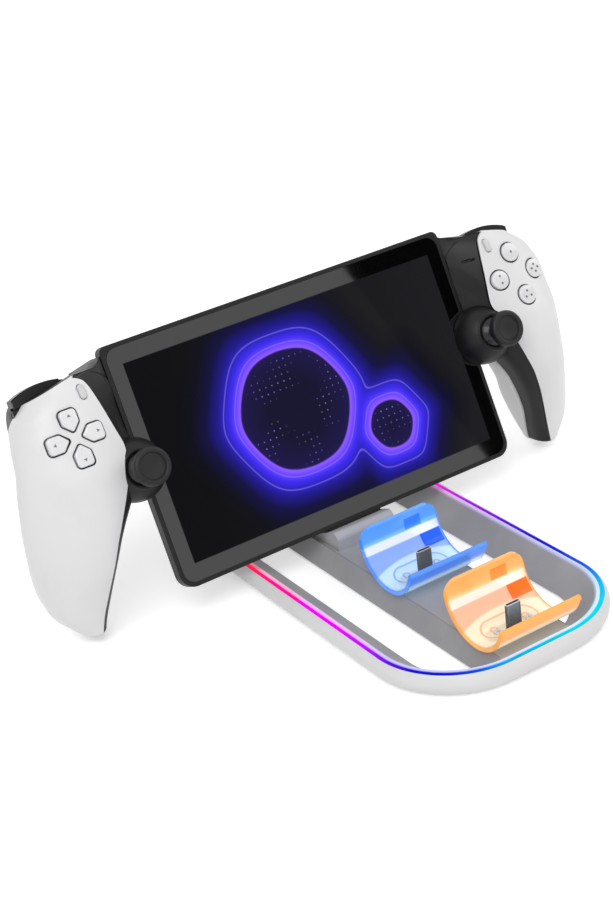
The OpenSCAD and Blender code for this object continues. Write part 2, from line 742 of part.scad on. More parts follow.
// Half-pipe cradle that a controller leans in, on its pedestal.
module cradle() {
    back_z = cradle_r * sin(cradle_back);
    difference() {
        union() {
            translate([0, 0, cradle_z]) rotate([90, 0, 90])
                linear_extrude(cradle_w, center = true) cradle_section();
            difference() {
                translate([0, 0, deck_h]) linear_extrude(cradle_wall + 0.8)
                    stadium(pedestal_w, pedestal_t);
                translate([0, 0, cradle_z]) rotate([0, 90, 0])
                    cylinder(r = cradle_r + cradle_wall / 2, h = 2 * cradle_w, center = true);
            }
        }
        translate([0, 60, 0]) corner_cut(cradle_w / 2, cradle_z + back_z + 0.6, 8);
        linear_extrude(deck_h + 8) stadium(plug_w + 0.6, plug_t + 0.6);
        for (x = [-1, 1]) translate([x * cradle_screws_pitch / 2, 0, 0]) {
            cylinder(r = screw_r + 0.15, h = deck_h + 8);
            translate([0, 0, deck_h + cradle_seat]) cylinder(r = head_r + 0.2, h = 6);
        }
    }
}

// Side view of a cradle's half pipe, from its beaded front edge round to its back edge.
module cradle_section() {
    at = cradle_r + cradle_wall - bead_r + 0.6;
    difference() {
        circle(cradle_r + cradle_wall, $fn = 96);
        circle(cradle_r, $fn = 96);
        polygon([
            [0, 0], -60 * [cos(cradle_front), sin(cradle_front)], [-60, 60], [60, 60],
            60 * [cos(cradle_back), sin(cradle_back)]
        ]);
    }
    translate(-at * [cos(cradle_front), sin(cradle_front)]) circle(bead_r);
}

module rear_cradle() color("#5aa8ff", 0.7) translate([0, cradle_spots[0], 0]) cradle();
module front_cradle() color("#ffb060", 0.7) translate([0, cradle_spots[1], 0]) cradle();

// Metal plug with its open mouth, from z = 0 up.
module plug(length) difference() {
    linear_extrude(length) stadium(plug_w, plug_t);
    translate([0, 0, length - 5]) linear_extrude(6) stadium(plug_w - 0.6, plug_t - 0.6);
}

module dock_plug(y) color(metal) translate([0, y, board_z + board_t])
    plug(deck_h + plug_h - board_z - board_t);
module rear_plug() dock_plug(cradle_spots[0]);
module front_plug() dock_plug(cradle_spots[1]);

module hinge_pin() color(metal) translate([0, hinge_y, hinge_z]) rotate([0, 90, 0])
    cylinder(r = pin_r, h = 2 * ear_reach, center = true);

// ---------- stand ----------
pad_t = 0.9;                              // silicone pad between stand and console
ledge_h = -rim_w - pad_t - 0.15;                           // top of the ledge, along the console
port_z = -8.6;                            // plug's distance behind the glass
back_z0 = -tablet_d - 0.3 - pad_t;        // front of the back plate
back_t = 4;

// A point of the console frame, in the row's y and z.
function in_row(h, z) = [
    console_y + h * sin(lean) - z * cos(lean), console_z + h * cos(lean) + z * sin(lean)
];

module stand_arm() color(gray) difference() {
    union() {
        rotate([90, 0, 90]) linear_extrude(knuckle_w, center = true) {
            translate([hinge_y, hinge_z]) circle(barrel_r);
            polygon(concat(
                [for (a = [180:-6:150]) [hinge_y + knuckle_r * cos(a), hinge_z + knuckle_r * sin(a)]],
                [for (a = [180:-15:90]) [nose_y + nose_r + nose_r * cos(a),
                    nose_z - nose_r + nose_r * sin(a)]],
                [in_row(ledge_h, 0.3), in_row(ledge_h, back_z0 - eps),
                    in_row(-6.5, back_z0 - back_t), in_row(-6.8, back_z0 + 2),
                    [hinge_y + barrel_r * 0.5, hinge_z - barrel_r * 0.87]]
            ));
        }
        console_place() translate([0, (back_h - 6.5) / 2, back_z0 - back_t])
            plate(back_w, back_h + 6.5, 8, back_t);
    }
    translate([0, hinge_y, hinge_z]) rotate([0, 90, 0])
        cylinder(r = pin_r + run_gap, h = knuckle_w + 2, center = true);
    // seat of the plug and a lightened back
    console_place() translate([0, 0, port_z]) rotate([-90, 0, 0]) translate([0, 0, -5])
        linear_extrude(6) stadium(plug_w + 0.1, plug_t + 0.1);
    console_place() translate([0, back_h / 2 + 6, back_z0 - back_t - 1])
        plate(back_w - 12, back_h - 24, 5, 2.6);
    // trim of the back plate where it would leave the well
    translate([-back_w, 0, -10]) cube([back_w - knuckle_w / 2, 200, 10 + deck_h + 2.5]);
    translate([knuckle_w / 2, 0, -10]) cube([back_w - knuckle_w / 2, 200, 10 + deck_h + 2.5]);
}
nose_y = 25.7;                            // front of the knuckle
nose_z = 19.1;                            // top of the knuckle
nose_r = 4;

module stand_pad() color("#3c3c3f") console_place() {
    difference() {
        translate([-knuckle_w / 2 + 2, ledge_h + seat_gap, back_z0 + 1.2])
            cube([knuckle_w - 4, pad_t, -back_z0 - 2]);
        translate([0, 0, port_z]) rotate([-90, 0, 0]) translate([0, 0, -5])
            linear_extrude(10) stadium(plug_w + 0.6, plug_t + 0.6);
    }
    translate([0, back_h - 14, back_z0 + 0.05]) plate(back_w - 8, 16, 4, pad_t);
}

module stand_plug() color(metal) console_place() translate([0, -4.9, port_z])
    rotate([-90, 0, 0]) plug(10.2);

// ---------- screen unit ----------
panel_w = glass_w - 2 * border_x;
panel_h = glass_h - 2 * border_y;
tablet_w = glass_w + 2 * rim_w;
tablet_h = glass_h + 2 * rim_w;
glass_r = tablet_r - rim_w + 0.6;
top_r = 3.5;                                    // the upper corners meet the shoulders

// Outline of the screen unit, centred.
module body_area(inset) {
    w = tablet_w - 2 * inset;
    h = tablet_h - 2 * inset;
    rounded(w, h, tablet_r - min(inset, 3));
    translate([0, h / 4]) rounded(w, h / 2, max(1, top_r - inset));
}

module body_place() {
    console_place() translate([0, glass_h / 2, 0]) children();
}

module screen_glass() color(soot) body_place() translate([0, 0, -glass_t])
    plate(glass_w - 0.2, glass_h - 0.2, glass_r - 0.1, glass_t);

module lcd_panel() color("#161a3a") body_place()
    translate([0, 0, -glass_t - seat_gap - panel_t]) plate(panel_w, panel_h, 1, panel_t);

shelf_z = -glass_t - 2 * seat_gap - panel_t;    // shelf behind the display
mid_t = 1;                                      // wall of the shelf

module front_frame() color(ink) body_place() difference() {
    translate([0, 0, -frame_d]) linear_extrude(frame_d) body_area(0);
    translate([0, 0, -glass_t - seat_gap]) plate(glass_w, glass_h, glass_r, 3);
    translate([0, 0, shelf_z]) plate(panel_w + 0.4, panel_h + 0.4, 1.2, 6);
    translate([0, 0, -frame_d - 1])
        linear_extrude(frame_d + 1 + shelf_z - mid_t) body_area(wall);
}

back_edge = 6.5;                                // slope of the rear cover's edge

module rear_cover() color(ink) body_place() difference() {
    hull() {
        translate([0, 0, -frame_d - 1]) linear_extrude(0.95) body_area(0, $fn = 32);
        translate([0, 0, -tablet_d + 3.6]) linear_extrude(0.1)
            body_area(back_edge * 0.42, $fn = 32);
        translate([0, 0, -tablet_d + 0.9]) linear_extrude(0.1)
            body_area(back_edge * 0.85, $fn = 32);
        translate([0, 0, -tablet_d]) linear_extrude(0.1)
            body_area(back_edge * 1.2, $fn = 32);
    }
    for (step = [[wall, 6.8], [4.4, 4.8], [7, 2.6]]) translate([0, 0, step[0] - tablet_d])
        linear_extrude(tablet_d) body_area(step[1]);
    // charging port in the lower edge
    translate([0, -tablet_h / 2, port_z]) rotate([-90, 0, 0])
        linear_extrude(16, center = true) stadium(port_w + 0.4, port_t + 0.4);
    // air slots
    for (x = [-vent_n:vent_n]) translate([x * vent_pitch, tablet_h / 2 - 16, -tablet_d])
        cube([1.6, 10, 2 * wall + 2], center = true);
}
vent_n = 9;
vent_pitch = 4.4;
port_w = 9.2;
port_t = 3.2;

inner_z = shelf_z - mid_t - seat_gap;           // front of the inner pieces
cell_w = glass_w * 0.61;
cell_h = glass_h * 0.5;
mount_w = glass_w * 0.69;                       // width of the main board
mount_h = glass_h * 0.2;
speaker_w = glass_w * 0.1;
speaker_h = speaker_w * 0.8;
speaker_at = glass_w / 2 - 16;
chip = [12, 11, 1.3];

module battery() color("#6d7278") console_place()
    translate([0, glass_h / 2 + 6, inner_z - 5]) plate(cell_w, cell_h, 3, 5);

module main_board() color("#1f5a3c") console_place() {
    translate([-mount_w / 2, 5.2, inner_z - 1.4]) cube([mount_w, mount_h, 1.2]);
    for (share = [-0.33, -0.1, 0.2]) translate([mount_w * share, 14, inner_z - 1.3 - chip[2]])
        cube(chip);
}

module charge_port() color(metal) console_place() translate([0, 0.5, port_z]) rotate([-90, 0, 0])
    difference() {
        linear_extrude(8) stadium(port_w, port_t);
        translate([0, 0, -1]) linear_extrude(8) difference() {
            stadium(port_w - 0.5, port_t - 0.5);
            translate([0, 0]) square([plug_w - 1.6, 0.7], center = true);
        }
    }

module speakers() color("#4a4a4d") console_place() for (s = [-1, 1])
    translate([s * speaker_at, 16, inner_z - 4.4]) plate(speaker_w, speaker_h, 2, 4.4);

// ---------- grips ----------
module grip_front(side, kind) color(white) difference() {
    grip_place(side) difference() {
        wall_loft([for (h = ring_heights) shell_ring(h, edge_angle(h), seam(h) - 0.3, 13)]);
        pod_form(0.35);
        translate([bay_x - side_gap - cheek_t - 0.3, bay_low, -70])
            cube([trigger_w + 2 * side_gap + 2 * cheek_t + 0.6, 50, 70 + bay_seat - 1.15]);
    }
    key_holes(side, kind);
}

module grip_rear(side) color(white) grip_place(side) difference() {
    wall_loft([for (i = [rear_first:len(ring_heights) - 1])
        shell_ring(ring_heights[i], seam(ring_heights[i]) + 0.3, 360 + band_end(ring_heights[i]), 10)]);
    translate([-20, -glass_h, -tablet_d - 20]) cube([20 + side_x, 2 * glass_h, tablet_d + 30]);
    for (s = screw_spots) screw_place(s) {
        cylinder(r = screw_r + 0.15, h = 20, center = true);
        translate([0, 0, -10]) cylinder(r = head_r + 0.2, h = 10 + head_h);
    }
}

// Place of a grip screw on the back, head outwards.
module screw_place(spot) {
    translate([spot[0], spot[1], rear_z(spot[0], spot[1]) + 0.3]) children();
}

module grip_core(side) color(ink) difference() {
    grip_place(side) difference() {
        loft([for (h = ring_heights) core_ring(h, 6, 14)]);
        translate([bay_x - side_gap - cheek_t - 0.3, bay_low, -70])
            cube([70, 50, 70 + bay_back]);
        pod_form(0.1);
        translate([-20, -glass_h, -tablet_d - 1])
            cube([20 + side_x, 2 * glass_h, tablet_d + 1.15]);
        translate([motor_at[0], motor_at[1], motor_floor])
            cylinder(r = motor_r + 0.15, h = 60);
        for (s = screw_spots) screw_place(s) {
            cylinder(r = screw_r + run_gap, h = 11);
            translate([0, 0, -6]) cylinder(r = head_r + 0.2, h = 6 + head_h);
        }
    }
    key_pockets(side);
}

module haptic_motors() color("#8f9296") for (side = [-1, 1]) grip_place(side)
    translate([motor_at[0], motor_at[1], motor_floor + 0.1]) {
        cylinder(r = motor_r, h = motor_l);
        translate([0, 0, motor_l]) cylinder(r = 1.5, h = 2);
    }

module grip_screws() color(soot) for (side = [-1, 1]) grip_place(side)
    for (s = screw_spots) screw_place(s) screw(9);

// Rubber pads under the keys, in the core's pockets.
module key_pads() color("#55585c") for (side = [-1, 1]) {
    kind = side > 0 ? "action" : "arrow";
    reach = side > 0 ? action_pitch : arrow_pitch;
    cluster_place(side) {
        translate([0, 0, pocket_floor + 0.1]) cylinder(r = pocket_r - 0.2, h = 0.8);
        for (i = [0:3]) let (spot = key_spot(kind, i)) rubber_pad(spot, 2.6);
        rubber_pad(pill_at, 2);
    }
}

// Post of rubber under a key, with room for the key's travel above it.
module rubber_pad(spot, r) {
    top = key_lift(spot[0], spot[1]) - key_depth + key_proud - pad_gap;
    translate([spot[0], spot[1], pocket_floor + 0.1]) cylinder(r = r, h = top - pocket_floor - 0.1);
}

// ---------- triggers and bumpers ----------
bay_x = 18;                               // inner side of a trigger
trigger_at = [44, -8];                    // trigger's pin: height, depth
trigger_mid = [31, -13];                  // centre of its curved back
bumper_mid = [31.5, 14];                  // centre of the bumper's curve
bumper_from = 22.5;
bumper_to = 48;
cheek_t = 2;
bay_seat = bay_back - 0.1;                // front of the pieces in the trigger's bay
lip_front = bay_seat - 1.25;              // lip of the frame in front of the bumper
lip_t = 0.9;
bumper_back = lip_front - lip_t - 0.25 - bumper_d;
bumper_pin = [26, 49.5];

// Side view of a trigger: depth runs back from the pin.
module trigger_profile(inset) {
    r = trigger_r - inset;
    polygon(concat(
        [[trigger_at[0] - 3.2 + inset, trigger_at[1] + 1.8],
            [trigger_at[0] + 2.4 - inset, trigger_at[1] + 1.8],
            [trigger_at[0] + 2.4 - inset, bumper_back - 1.3 - inset]],
        [for (a = [84:-6:0]) [trigger_mid[0] + r * sin(a), trigger_mid[1] - r * cos(a)]],
        [[trigger_mid[0] - 4 + inset * 0.5, trigger_mid[1] - r - 0.6 + inset * 0.3],
            [trigger_mid[0] - 4 + inset * 0.5, trigger_mid[1] - r + 3.2 + inset],
            [trigger_mid[0] + 2, trigger_mid[1] - r + 7]]
    ));
}

module trigger(side) color(ink) grip_place(side) {
    difference() {
        translate([bay_x, 0, 0]) rotate([90, 0, 90]) linear_extrude(trigger_w) trigger_profile(0);
        translate([bay_x + trigger_wall, 0, 0]) rotate([90, 0, 90])
            linear_extrude(trigger_w - 2 * trigger_wall) trigger_profile(trigger_wall);
        translate([bay_x + trigger_wall, trigger_mid[0] - 8, trigger_mid[1] - 8])
            cube([trigger_w - 2 * trigger_wall, 16, 30]);
    }
    translate([bay_x + trigger_w / 2, trigger_at[0], trigger_at[1]]) rotate([0, 90, 0])
        cylinder(r = trigger_pin_r, h = trigger_w + 2 * (cheek_t + side_gap) - 0.4, center = true);
}

// Cheeks that carry the trigger's pin and the bumper's pin.
module trigger_frames() color("#46464a") for (side = [-1, 1]) grip_place(side) {
    for (x = [bay_x - side_gap - cheek_t, bay_x + trigger_w + side_gap]) difference() {
        translate([x, 22.5, -13]) cube([cheek_t, 24, 13 + bay_seat]);
        translate([x - 1, trigger_at[0], trigger_at[1]]) rotate([0, 90, 0])
            cylinder(r = trigger_pin_r + run_gap, h = cheek_t + 2);
        translate([bay_x + trigger_w, 30, bay_seat - 1.3]) cube([2 * cheek_t, 30, 3]);
    }
    translate([bay_x - side_gap - cheek_t, 22.5, bay_seat - 1.2])
        cube([trigger_w + 2 * side_gap + 2 * cheek_t, 4, 1.2]);
    translate([bumper_pin[0], bumper_pin[1], bumper_back + 0.4])
        cylinder(r = trigger_pin_r, h = lip_front - bumper_back - 0.4);
    intersection() {
        translate([bumper_mid[0], bumper_mid[1], lip_front - lip_t])
            cylinder(r = bumper_r - 0.6, h = lip_t, $fn = 128);
        translate([bay_x - side_gap - cheek_t, 46.9, lip_front - lip_t])
            cube([bumper_to - bay_x + side_gap + cheek_t, 20, lip_t]);
    }
    translate([bay_x - side_gap - cheek_t, 45.4, lip_front - lip_t])
        cube([cheek_t, 3, bay_seat - lip_front + lip_t]);
}

module bumper(side) color(ink) grip_place(side) difference() {
    union() {
        intersection() {
            translate([bumper_mid[0], bumper_mid[1], bumper_back]) difference() {
                cylinder(r = bumper_r, h = bumper_d, $fn = 128);
                translate([0, 0, -1]) cylinder(r = bumper_r - bumper_t, h = bumper_d + 2, $fn = 128);
            }
            translate([bumper_from, 40, bumper_back - 1])
                cube([bumper_to - bumper_from, 20, bumper_d + 2]);
        }
        translate([bumper_pin[0], bumper_pin[1], bumper_back]) cylinder(r = trigger_pin_r + 1, h = bumper_d);
    }
    translate([bumper_pin[0], bumper_pin[1], bumper_back - 1])
        cylinder(r = trigger_pin_r + run_gap, h = bumper_d + 2);
}

// ---------- sticks ----------
module at_pivot(side) grip_place(side) translate([pivot_at[0], pivot_at[1], pivot_h]) children();

socket_r = skirt_r + skirt_gap;
opening_r = sqrt(socket_r * socket_r - (pod_rim - pivot_h) * (pod_rim - pivot_h));
trunnion_l = 12;
yoke_r = 7;
yoke_bore = 4.6;
yoke_t = 3.6;
skirt_angle = 62;
pod_floor = 1.4;
click = 0.6;                              // room above the stem for the click

module stick_base(side) color(ink) difference() {
    grip_place(side) intersection() {
        pod_form(0);
        translate([pivot_at[0], pivot_at[1], pod_foot])
            cylinder(r = pod_r + 2, h = pod_rim - pod_foot);
    }
    at_pivot(side) {
        intersection() {
            sphere(socket_r, $fn = 96);
            translate([0, 0, 20 + pod_foot + pod_floor - pivot_h]) cube(40, center = true);
        }
        cylinder(r = opening_r, h = 20);
        rotate([0, 90, 0]) cylinder(r = gimbal_pin_r + run_gap, h = 2 * trunnion_l + 0.6, center = true);
    }
}

module stick_yoke(side) color("#7d7f83") at_pivot(side) difference() {
    union() {
        translate([0, 0, -yoke_t / 2]) cylinder(r = yoke_r, h = yoke_t);
        rotate([0, 90, 0]) cylinder(r = gimbal_pin_r, h = 2 * trunnion_l, center = true);
    }
    cylinder(r = yoke_bore, h = 3 * yoke_t, center = true);
    rotate([90, 0, 0]) cylinder(r = gimbal_pin_r + run_gap, h = 3 * yoke_r, center = true);
}

module stick(side) color("#56585c") at_pivot(side) {
    rotate([90, 0, 0]) cylinder(r = gimbal_pin_r, h = 2 * yoke_r - 0.3, center = true);
    translate([0, 0, -2]) cylinder(r = stem_r, h = 2 + stem_top);
    rotate_extrude() intersection() {
        difference() {
            circle(skirt_r, $fn = 96);
            circle(skirt_r - skirt_wall, $fn = 96);
        }
        polygon([[0, 0], [30 * sin(skirt_angle), 30 * cos(skirt_angle)], [0, 30]]);
    }
}
cap_t = 5.2;
hub_foot = cap_top - 9;                   // lower end of the cap's hub
stem_top = cap_top - 3.9;

module stick_cap(side) color(soot) at_pivot(side) difference() {
    rotate_extrude() {
        polygon(concat(
            [[0, hub_foot], [5, hub_foot], [5.4, cap_top - cap_t - 1.2], [cap_r - 1.4, cap_top - cap_t]],
            [for (a = [-60:15:90]) [cap_r - 1.4 + 1.4 * cos(a), cap_top - 1.4 - (a < 0 ? cap_t - 3 : 0)
                + 1.4 * sin(a)]],
            [[cap_r - 2.6, cap_top - 0.5]],
            [for (i = [0:6]) let (r = (cap_r - 3) * (6 - i) / 6)
                [r, cap_top - 1.5 + 0.9 * pow(r / (cap_r - 3), 2)]]
        ));
    }
    translate([0, 0, hub_foot - 1]) cylinder(r = stem_r + run_gap, h = stem_top + click - hub_foot + 1);
}

// ---------- keys by name ----------
module action_key(index) color("#f2f3f5", 0.9) key(1, "action", index);
module arrow_key(index) color("#f2f3f5", 0.9) key(-1, "arrow", index);

// ---------- the assembly ----------
base_shell();
deck_frame();
light_strip();
led_ribbon();
bottom_cover();
dock_board();
power_inlet();
rubber_feet();
dock_screws();
rear_cradle();
front_cradle();
rear_plug();
front_plug();
hinge_pin();
stand_arm();
stand_pad();
stand_plug();
screen_glass();
lcd_panel();
front_frame();
rear_cover();
battery();
main_board();
charge_port();
speakers();
grip_front(-1, "arrow");  // left_grip_front
grip_front(1, "action");  // right_grip_front
grip_rear(-1);  // left_grip_rear
grip_rear(1);  // right_grip_rear
grip_core(-1);  // left_grip_core
grip_core(1);  // right_grip_core
haptic_motors();
grip_screws();
key_pads();
trigger_frames();
stick_base(-1);  // left_stick_base
stick_base(1);  // right_stick_base
stick_yoke(-1);  // left_stick_yoke
stick_yoke(1);  // right_stick_yoke
stick(-1);  // left_stick
stick(1);  // right_stick
stick_cap(-1);  // left_stick_cap
stick_cap(1);  // right_stick_cap
arrow_key(0);  // dpad_up
arrow_key(2);  // dpad_down
arrow_key(3);  // dpad_left
arrow_key(1);  // dpad_right
action_key(0);  // action_top
action_key(2);  // action_bottom
action_key(1);  // action_left
action_key(3);  // action_right
color("#eeeeee") key(-1, "pill", 0, 0.8);  // create_button
color("#eeeeee") key(1, "pill", 0, 0.8);  // options_button
bumper(-1);  // left_bumper
bumper(1);  // right_bumper
trigger(-1);  // left_trigger
trigger(1);  // right_trigger
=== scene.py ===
"""Visual model of a handheld game console on a lit dock with two controller cradles."""

import json
import logging
import math
from dataclasses import dataclass
from enum import Enum
from functools import cached_property
from typing import Callable, Optional, Sequence, Union

import bmesh
import bpy
from mathutils import Matrix, Vector

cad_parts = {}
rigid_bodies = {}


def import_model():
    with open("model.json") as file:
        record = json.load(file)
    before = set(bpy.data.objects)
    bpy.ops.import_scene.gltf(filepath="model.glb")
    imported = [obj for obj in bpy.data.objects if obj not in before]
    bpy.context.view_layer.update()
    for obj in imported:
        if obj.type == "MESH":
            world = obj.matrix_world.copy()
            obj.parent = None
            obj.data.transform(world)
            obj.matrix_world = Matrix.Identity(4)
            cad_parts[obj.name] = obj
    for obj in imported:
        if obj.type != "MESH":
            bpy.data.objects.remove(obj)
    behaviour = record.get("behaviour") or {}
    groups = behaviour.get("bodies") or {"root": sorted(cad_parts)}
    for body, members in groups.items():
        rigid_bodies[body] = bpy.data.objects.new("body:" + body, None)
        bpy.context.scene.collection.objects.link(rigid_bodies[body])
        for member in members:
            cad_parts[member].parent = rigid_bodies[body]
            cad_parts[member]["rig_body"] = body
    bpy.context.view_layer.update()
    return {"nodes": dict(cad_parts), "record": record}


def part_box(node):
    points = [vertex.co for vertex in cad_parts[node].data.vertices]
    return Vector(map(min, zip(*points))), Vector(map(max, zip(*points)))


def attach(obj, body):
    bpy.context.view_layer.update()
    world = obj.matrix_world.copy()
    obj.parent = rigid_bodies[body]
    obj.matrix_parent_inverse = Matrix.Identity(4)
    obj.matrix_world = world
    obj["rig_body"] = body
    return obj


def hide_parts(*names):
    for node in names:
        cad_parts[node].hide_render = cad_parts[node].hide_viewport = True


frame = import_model()
LOG = logging.getLogger("console_dock")

MM = 0.001
UNMOVED = Matrix.Identity(4).freeze()
Socket = bpy.types.NodeSocket
Value = Union[float, str, Sequence[float], Socket]
Point = tuple[float, float]
Stops = tuple[tuple[float, str], ...]


# ---------------------------------------------------------------- colours and nodes


def linear(hex_colour: str, alpha: float = 1.0) -> tuple[float, float, float, float]:
    """Linear colour of an sRGB hex colour.

    Args:
        hex_colour: Six hex digits after a number sign.
        alpha: Opacity of the colour.

    Returns:
        Linear red, green and blue, and the opacity.
    """
    channels = [int(hex_colour[i : i + 2], 16) / 255 for i in (1, 3, 5)]
    values = [c / 12.92 if c <= 0.04045 else ((c + 0.055) / 1.055) ** 2.4 for c in channels]
    return (*values, alpha)


class Graph:
    """Node tree of one material or of the world."""

    def __init__(self, owner: Union[bpy.types.Material, bpy.types.World]) -> None:
        """Empties the tree.

        Args:
            owner: Material or world that holds the tree.
        """
        self.owner = owner
        owner.use_nodes = True
        self.tree = owner.node_tree
        self.tree.nodes.clear()

    def add(
        self, kind: str, *values: Value, out: Union[int, str] = 0, **settings: object
    ) -> Optional[Socket]:
        """Adds a node with its settings and links.

        Args:
            kind: Blender's name of the node type without its first word, and after a colon the
                node's operation.
            *values: Values of the first inputs that the node uses, in order.
            out: Name or place of the output that is handed back.
            **settings: Properties of the node, the stops of a colour ramp, and inputs by name
                with underscores for spaces.

        Returns:
            The output, or None for a node that has none.
        """
        title, _colon, operation = kind.partition(":")
        node = self.tree.nodes.new(f"ShaderNode{title}")
        if operation:
            node.operation = operation
        named = []
        for name, value in settings.items():
            label = name.replace("_", " ")
            if label in node.inputs:
                named.append((node.inputs[label], value))
            elif name == "stops":
                self.set_stops(node.color_ramp.elements, value)
            else:
                setattr(node, name, value)
        used = [socket for socket in node.inputs if socket.enabled]
        for socket, value in [*zip(used, values), *named]:
            self.feed(socket, value)
        if isinstance(out, str):
            return node.outputs[out]
        outputs = [socket for socket in node.outputs if socket.enabled]
        return outputs[out] if outputs else None

    def feed(self, socket: Socket, value: Value) -> None:
        """Links a socket, or sets its own value.

        Args:
            socket: Input socket.
            value: Output socket, number, vector or hex colour.
        """
        if isinstance(value, Socket):
            self.tree.links.new(value, socket)
        else:
            socket.default_value = linear(value) if isinstance(value, str) else value

    def set_stops(self, elements: bpy.types.ColorRampElements, stops: Stops) -> None:
        """Sets a colour ramp.

        Args:
            elements: Stops of the ramp, two at first.
            stops: Place from 0 to 1 and hex colour of each stop.
        """
        while len(elements) < len(stops):
            elements.new(0.5)
        for element, (at, colour) in zip(elements, stops):
            element.position = at
            element.color = linear(colour)

    def close(self, shader: Socket) -> Union[bpy.types.Material, bpy.types.World]:
        """Links the shader to the output.

        Args:
            shader: Output of the last shader.

        Returns:
            The finished material or world.
        """
        kind = "OutputWorld" if isinstance(self.owner, bpy.types.World) else "OutputMaterial"
        self.add(kind, Surface=shader)
        return self.owner

    def place(self, location: Sequence[float] = (0.0, 0.0, 0.0), turn: float = 0.0) -> Socket:
        """Object coordinates seen from a place that is turned about X.

        Args:
            location: Origin of the place in metres.
            turn: Turn about X in radians.

        Returns:
            Vector output.
        """
        here = self.add("TexCoord", out="Object")
        return self.add(
            "Mapping", here, vector_type="TEXTURE", Location=location, Rotation=(turn, 0.0, 0.0)
        )

    def axes(self, vector: Socket) -> tuple[Socket, ...]:
        """X, Y and Z of a vector."""
        return tuple(self.add("SeparateXYZ", vector, out=axis) for axis in "XYZ")

    def far(self, x: Value, y: Value) -> Socket:
        """Distance of a flat place from the origin."""
        squares = [self.add("Math:MULTIPLY", value, value) for value in (x, y)]
        return self.add("Math:SQRT", self.add("Math:ADD", *squares))

    def within(self, value: Value, half: float, soft: float) -> Socket:
        """1 where a value lies within a reach either side of 0, and 0 outside.

        Args:
            value: Incoming value.
            half: The reach.
            soft: Width of the soft edge outside it.

        Returns:
            The share.
        """
        reach = self.add("Math:ABSOLUTE", value)
        return self.add("MapRange", reach, half, half + soft, 1.0, 0.0)

    def stretch(self, noise: Socket, low: float, high: float) -> Socket:
        """Noise stretched so that the span where most of it lies fills another span.

        Args:
            noise: Value of a noise.
            low: Result at the low end.
            high: Result at the high end.

        Returns:
            The result.
        """
        return self.add("MapRange", noise, 0.3, 0.7, low, high)

    def seen(self) -> Socket:
        """Tells the rays that show a thing to the eye, straight, mirrored or through glass.

        Returns:
            1 on such a ray and 0 on the others.
        """
        found = self.add("LightPath", out="Is Camera Ray")
        for ray in ("Is Glossy Ray", "Is Transmission Ray"):
            found = self.add("Math:MAXIMUM", found, self.add("LightPath", out=ray))
        return found


# ---------------------------------------------------------------- finishes


@dataclass(frozen=True)
class Finish:
    """Moulded, painted or metal surface: mottled colour, uneven gloss and fine grain.

    The grain is the bite of the mould or of the finishing, and the mottle is the slow drift of
    tone over a part. Both are spacings in millimetres, and the depth of the grain is too. Real
    grain of some 0.05 mm is too fine to show, so it is drawn several times as coarse. Plastics
    have an IOR a little under the 1.49 of acrylic, which matches their dull sheen, and metals
    keep the shader's own.
    """

    name: str
    colour: str
    shadow: str
    roughness: float
    spread: float
    grain: float
    depth: float
    mottle: float
    metallic: float = 0.0
    coat: float = 0.0
    coat_roughness: float = 0.12
    specular: float = 0.5
    clear: float = 0.0
    ior: float = 1.46

    def build(self) -> bpy.types.Material:
        """Makes the material.

        Returns:
            The finished material.
        """
        graph = Graph(bpy.data.materials.new(self.name))
        where = graph.place()
        mottle = graph.add("TexNoise", where, 1 / (self.mottle * MM), 3.0)
        grain = graph.add("TexNoise", where, 1 / (self.grain * MM), 3.0)
        drift = graph.stretch(mottle, 0.0, 1.0)
        shares = [graph.add("Math:MULTIPLY", *pair) for pair in ((grain, 0.6), (mottle, 0.4))]
        uneven = graph.add("Math:ADD", *shares)
        smooth, rough = self.roughness - self.spread, self.roughness + self.spread
        plastic = {} if self.metallic else {"IOR": self.ior}
        return graph.close(graph.add(
            "BsdfPrincipled",
            Base_Color=graph.add("Mix", drift, self.colour, self.shadow, data_type="RGBA"),
            Roughness=graph.stretch(uneven, smooth, rough),
            Metallic=self.metallic,
            Coat_Weight=self.coat,
            Coat_Roughness=self.coat_roughness,
            Specular_IOR_Level=self.specular,
            Transmission_Weight=self.clear,
            Normal=graph.add("Bump", Height=grain, Strength=1.0, Distance=self.depth * MM),
            **plastic,
        ))


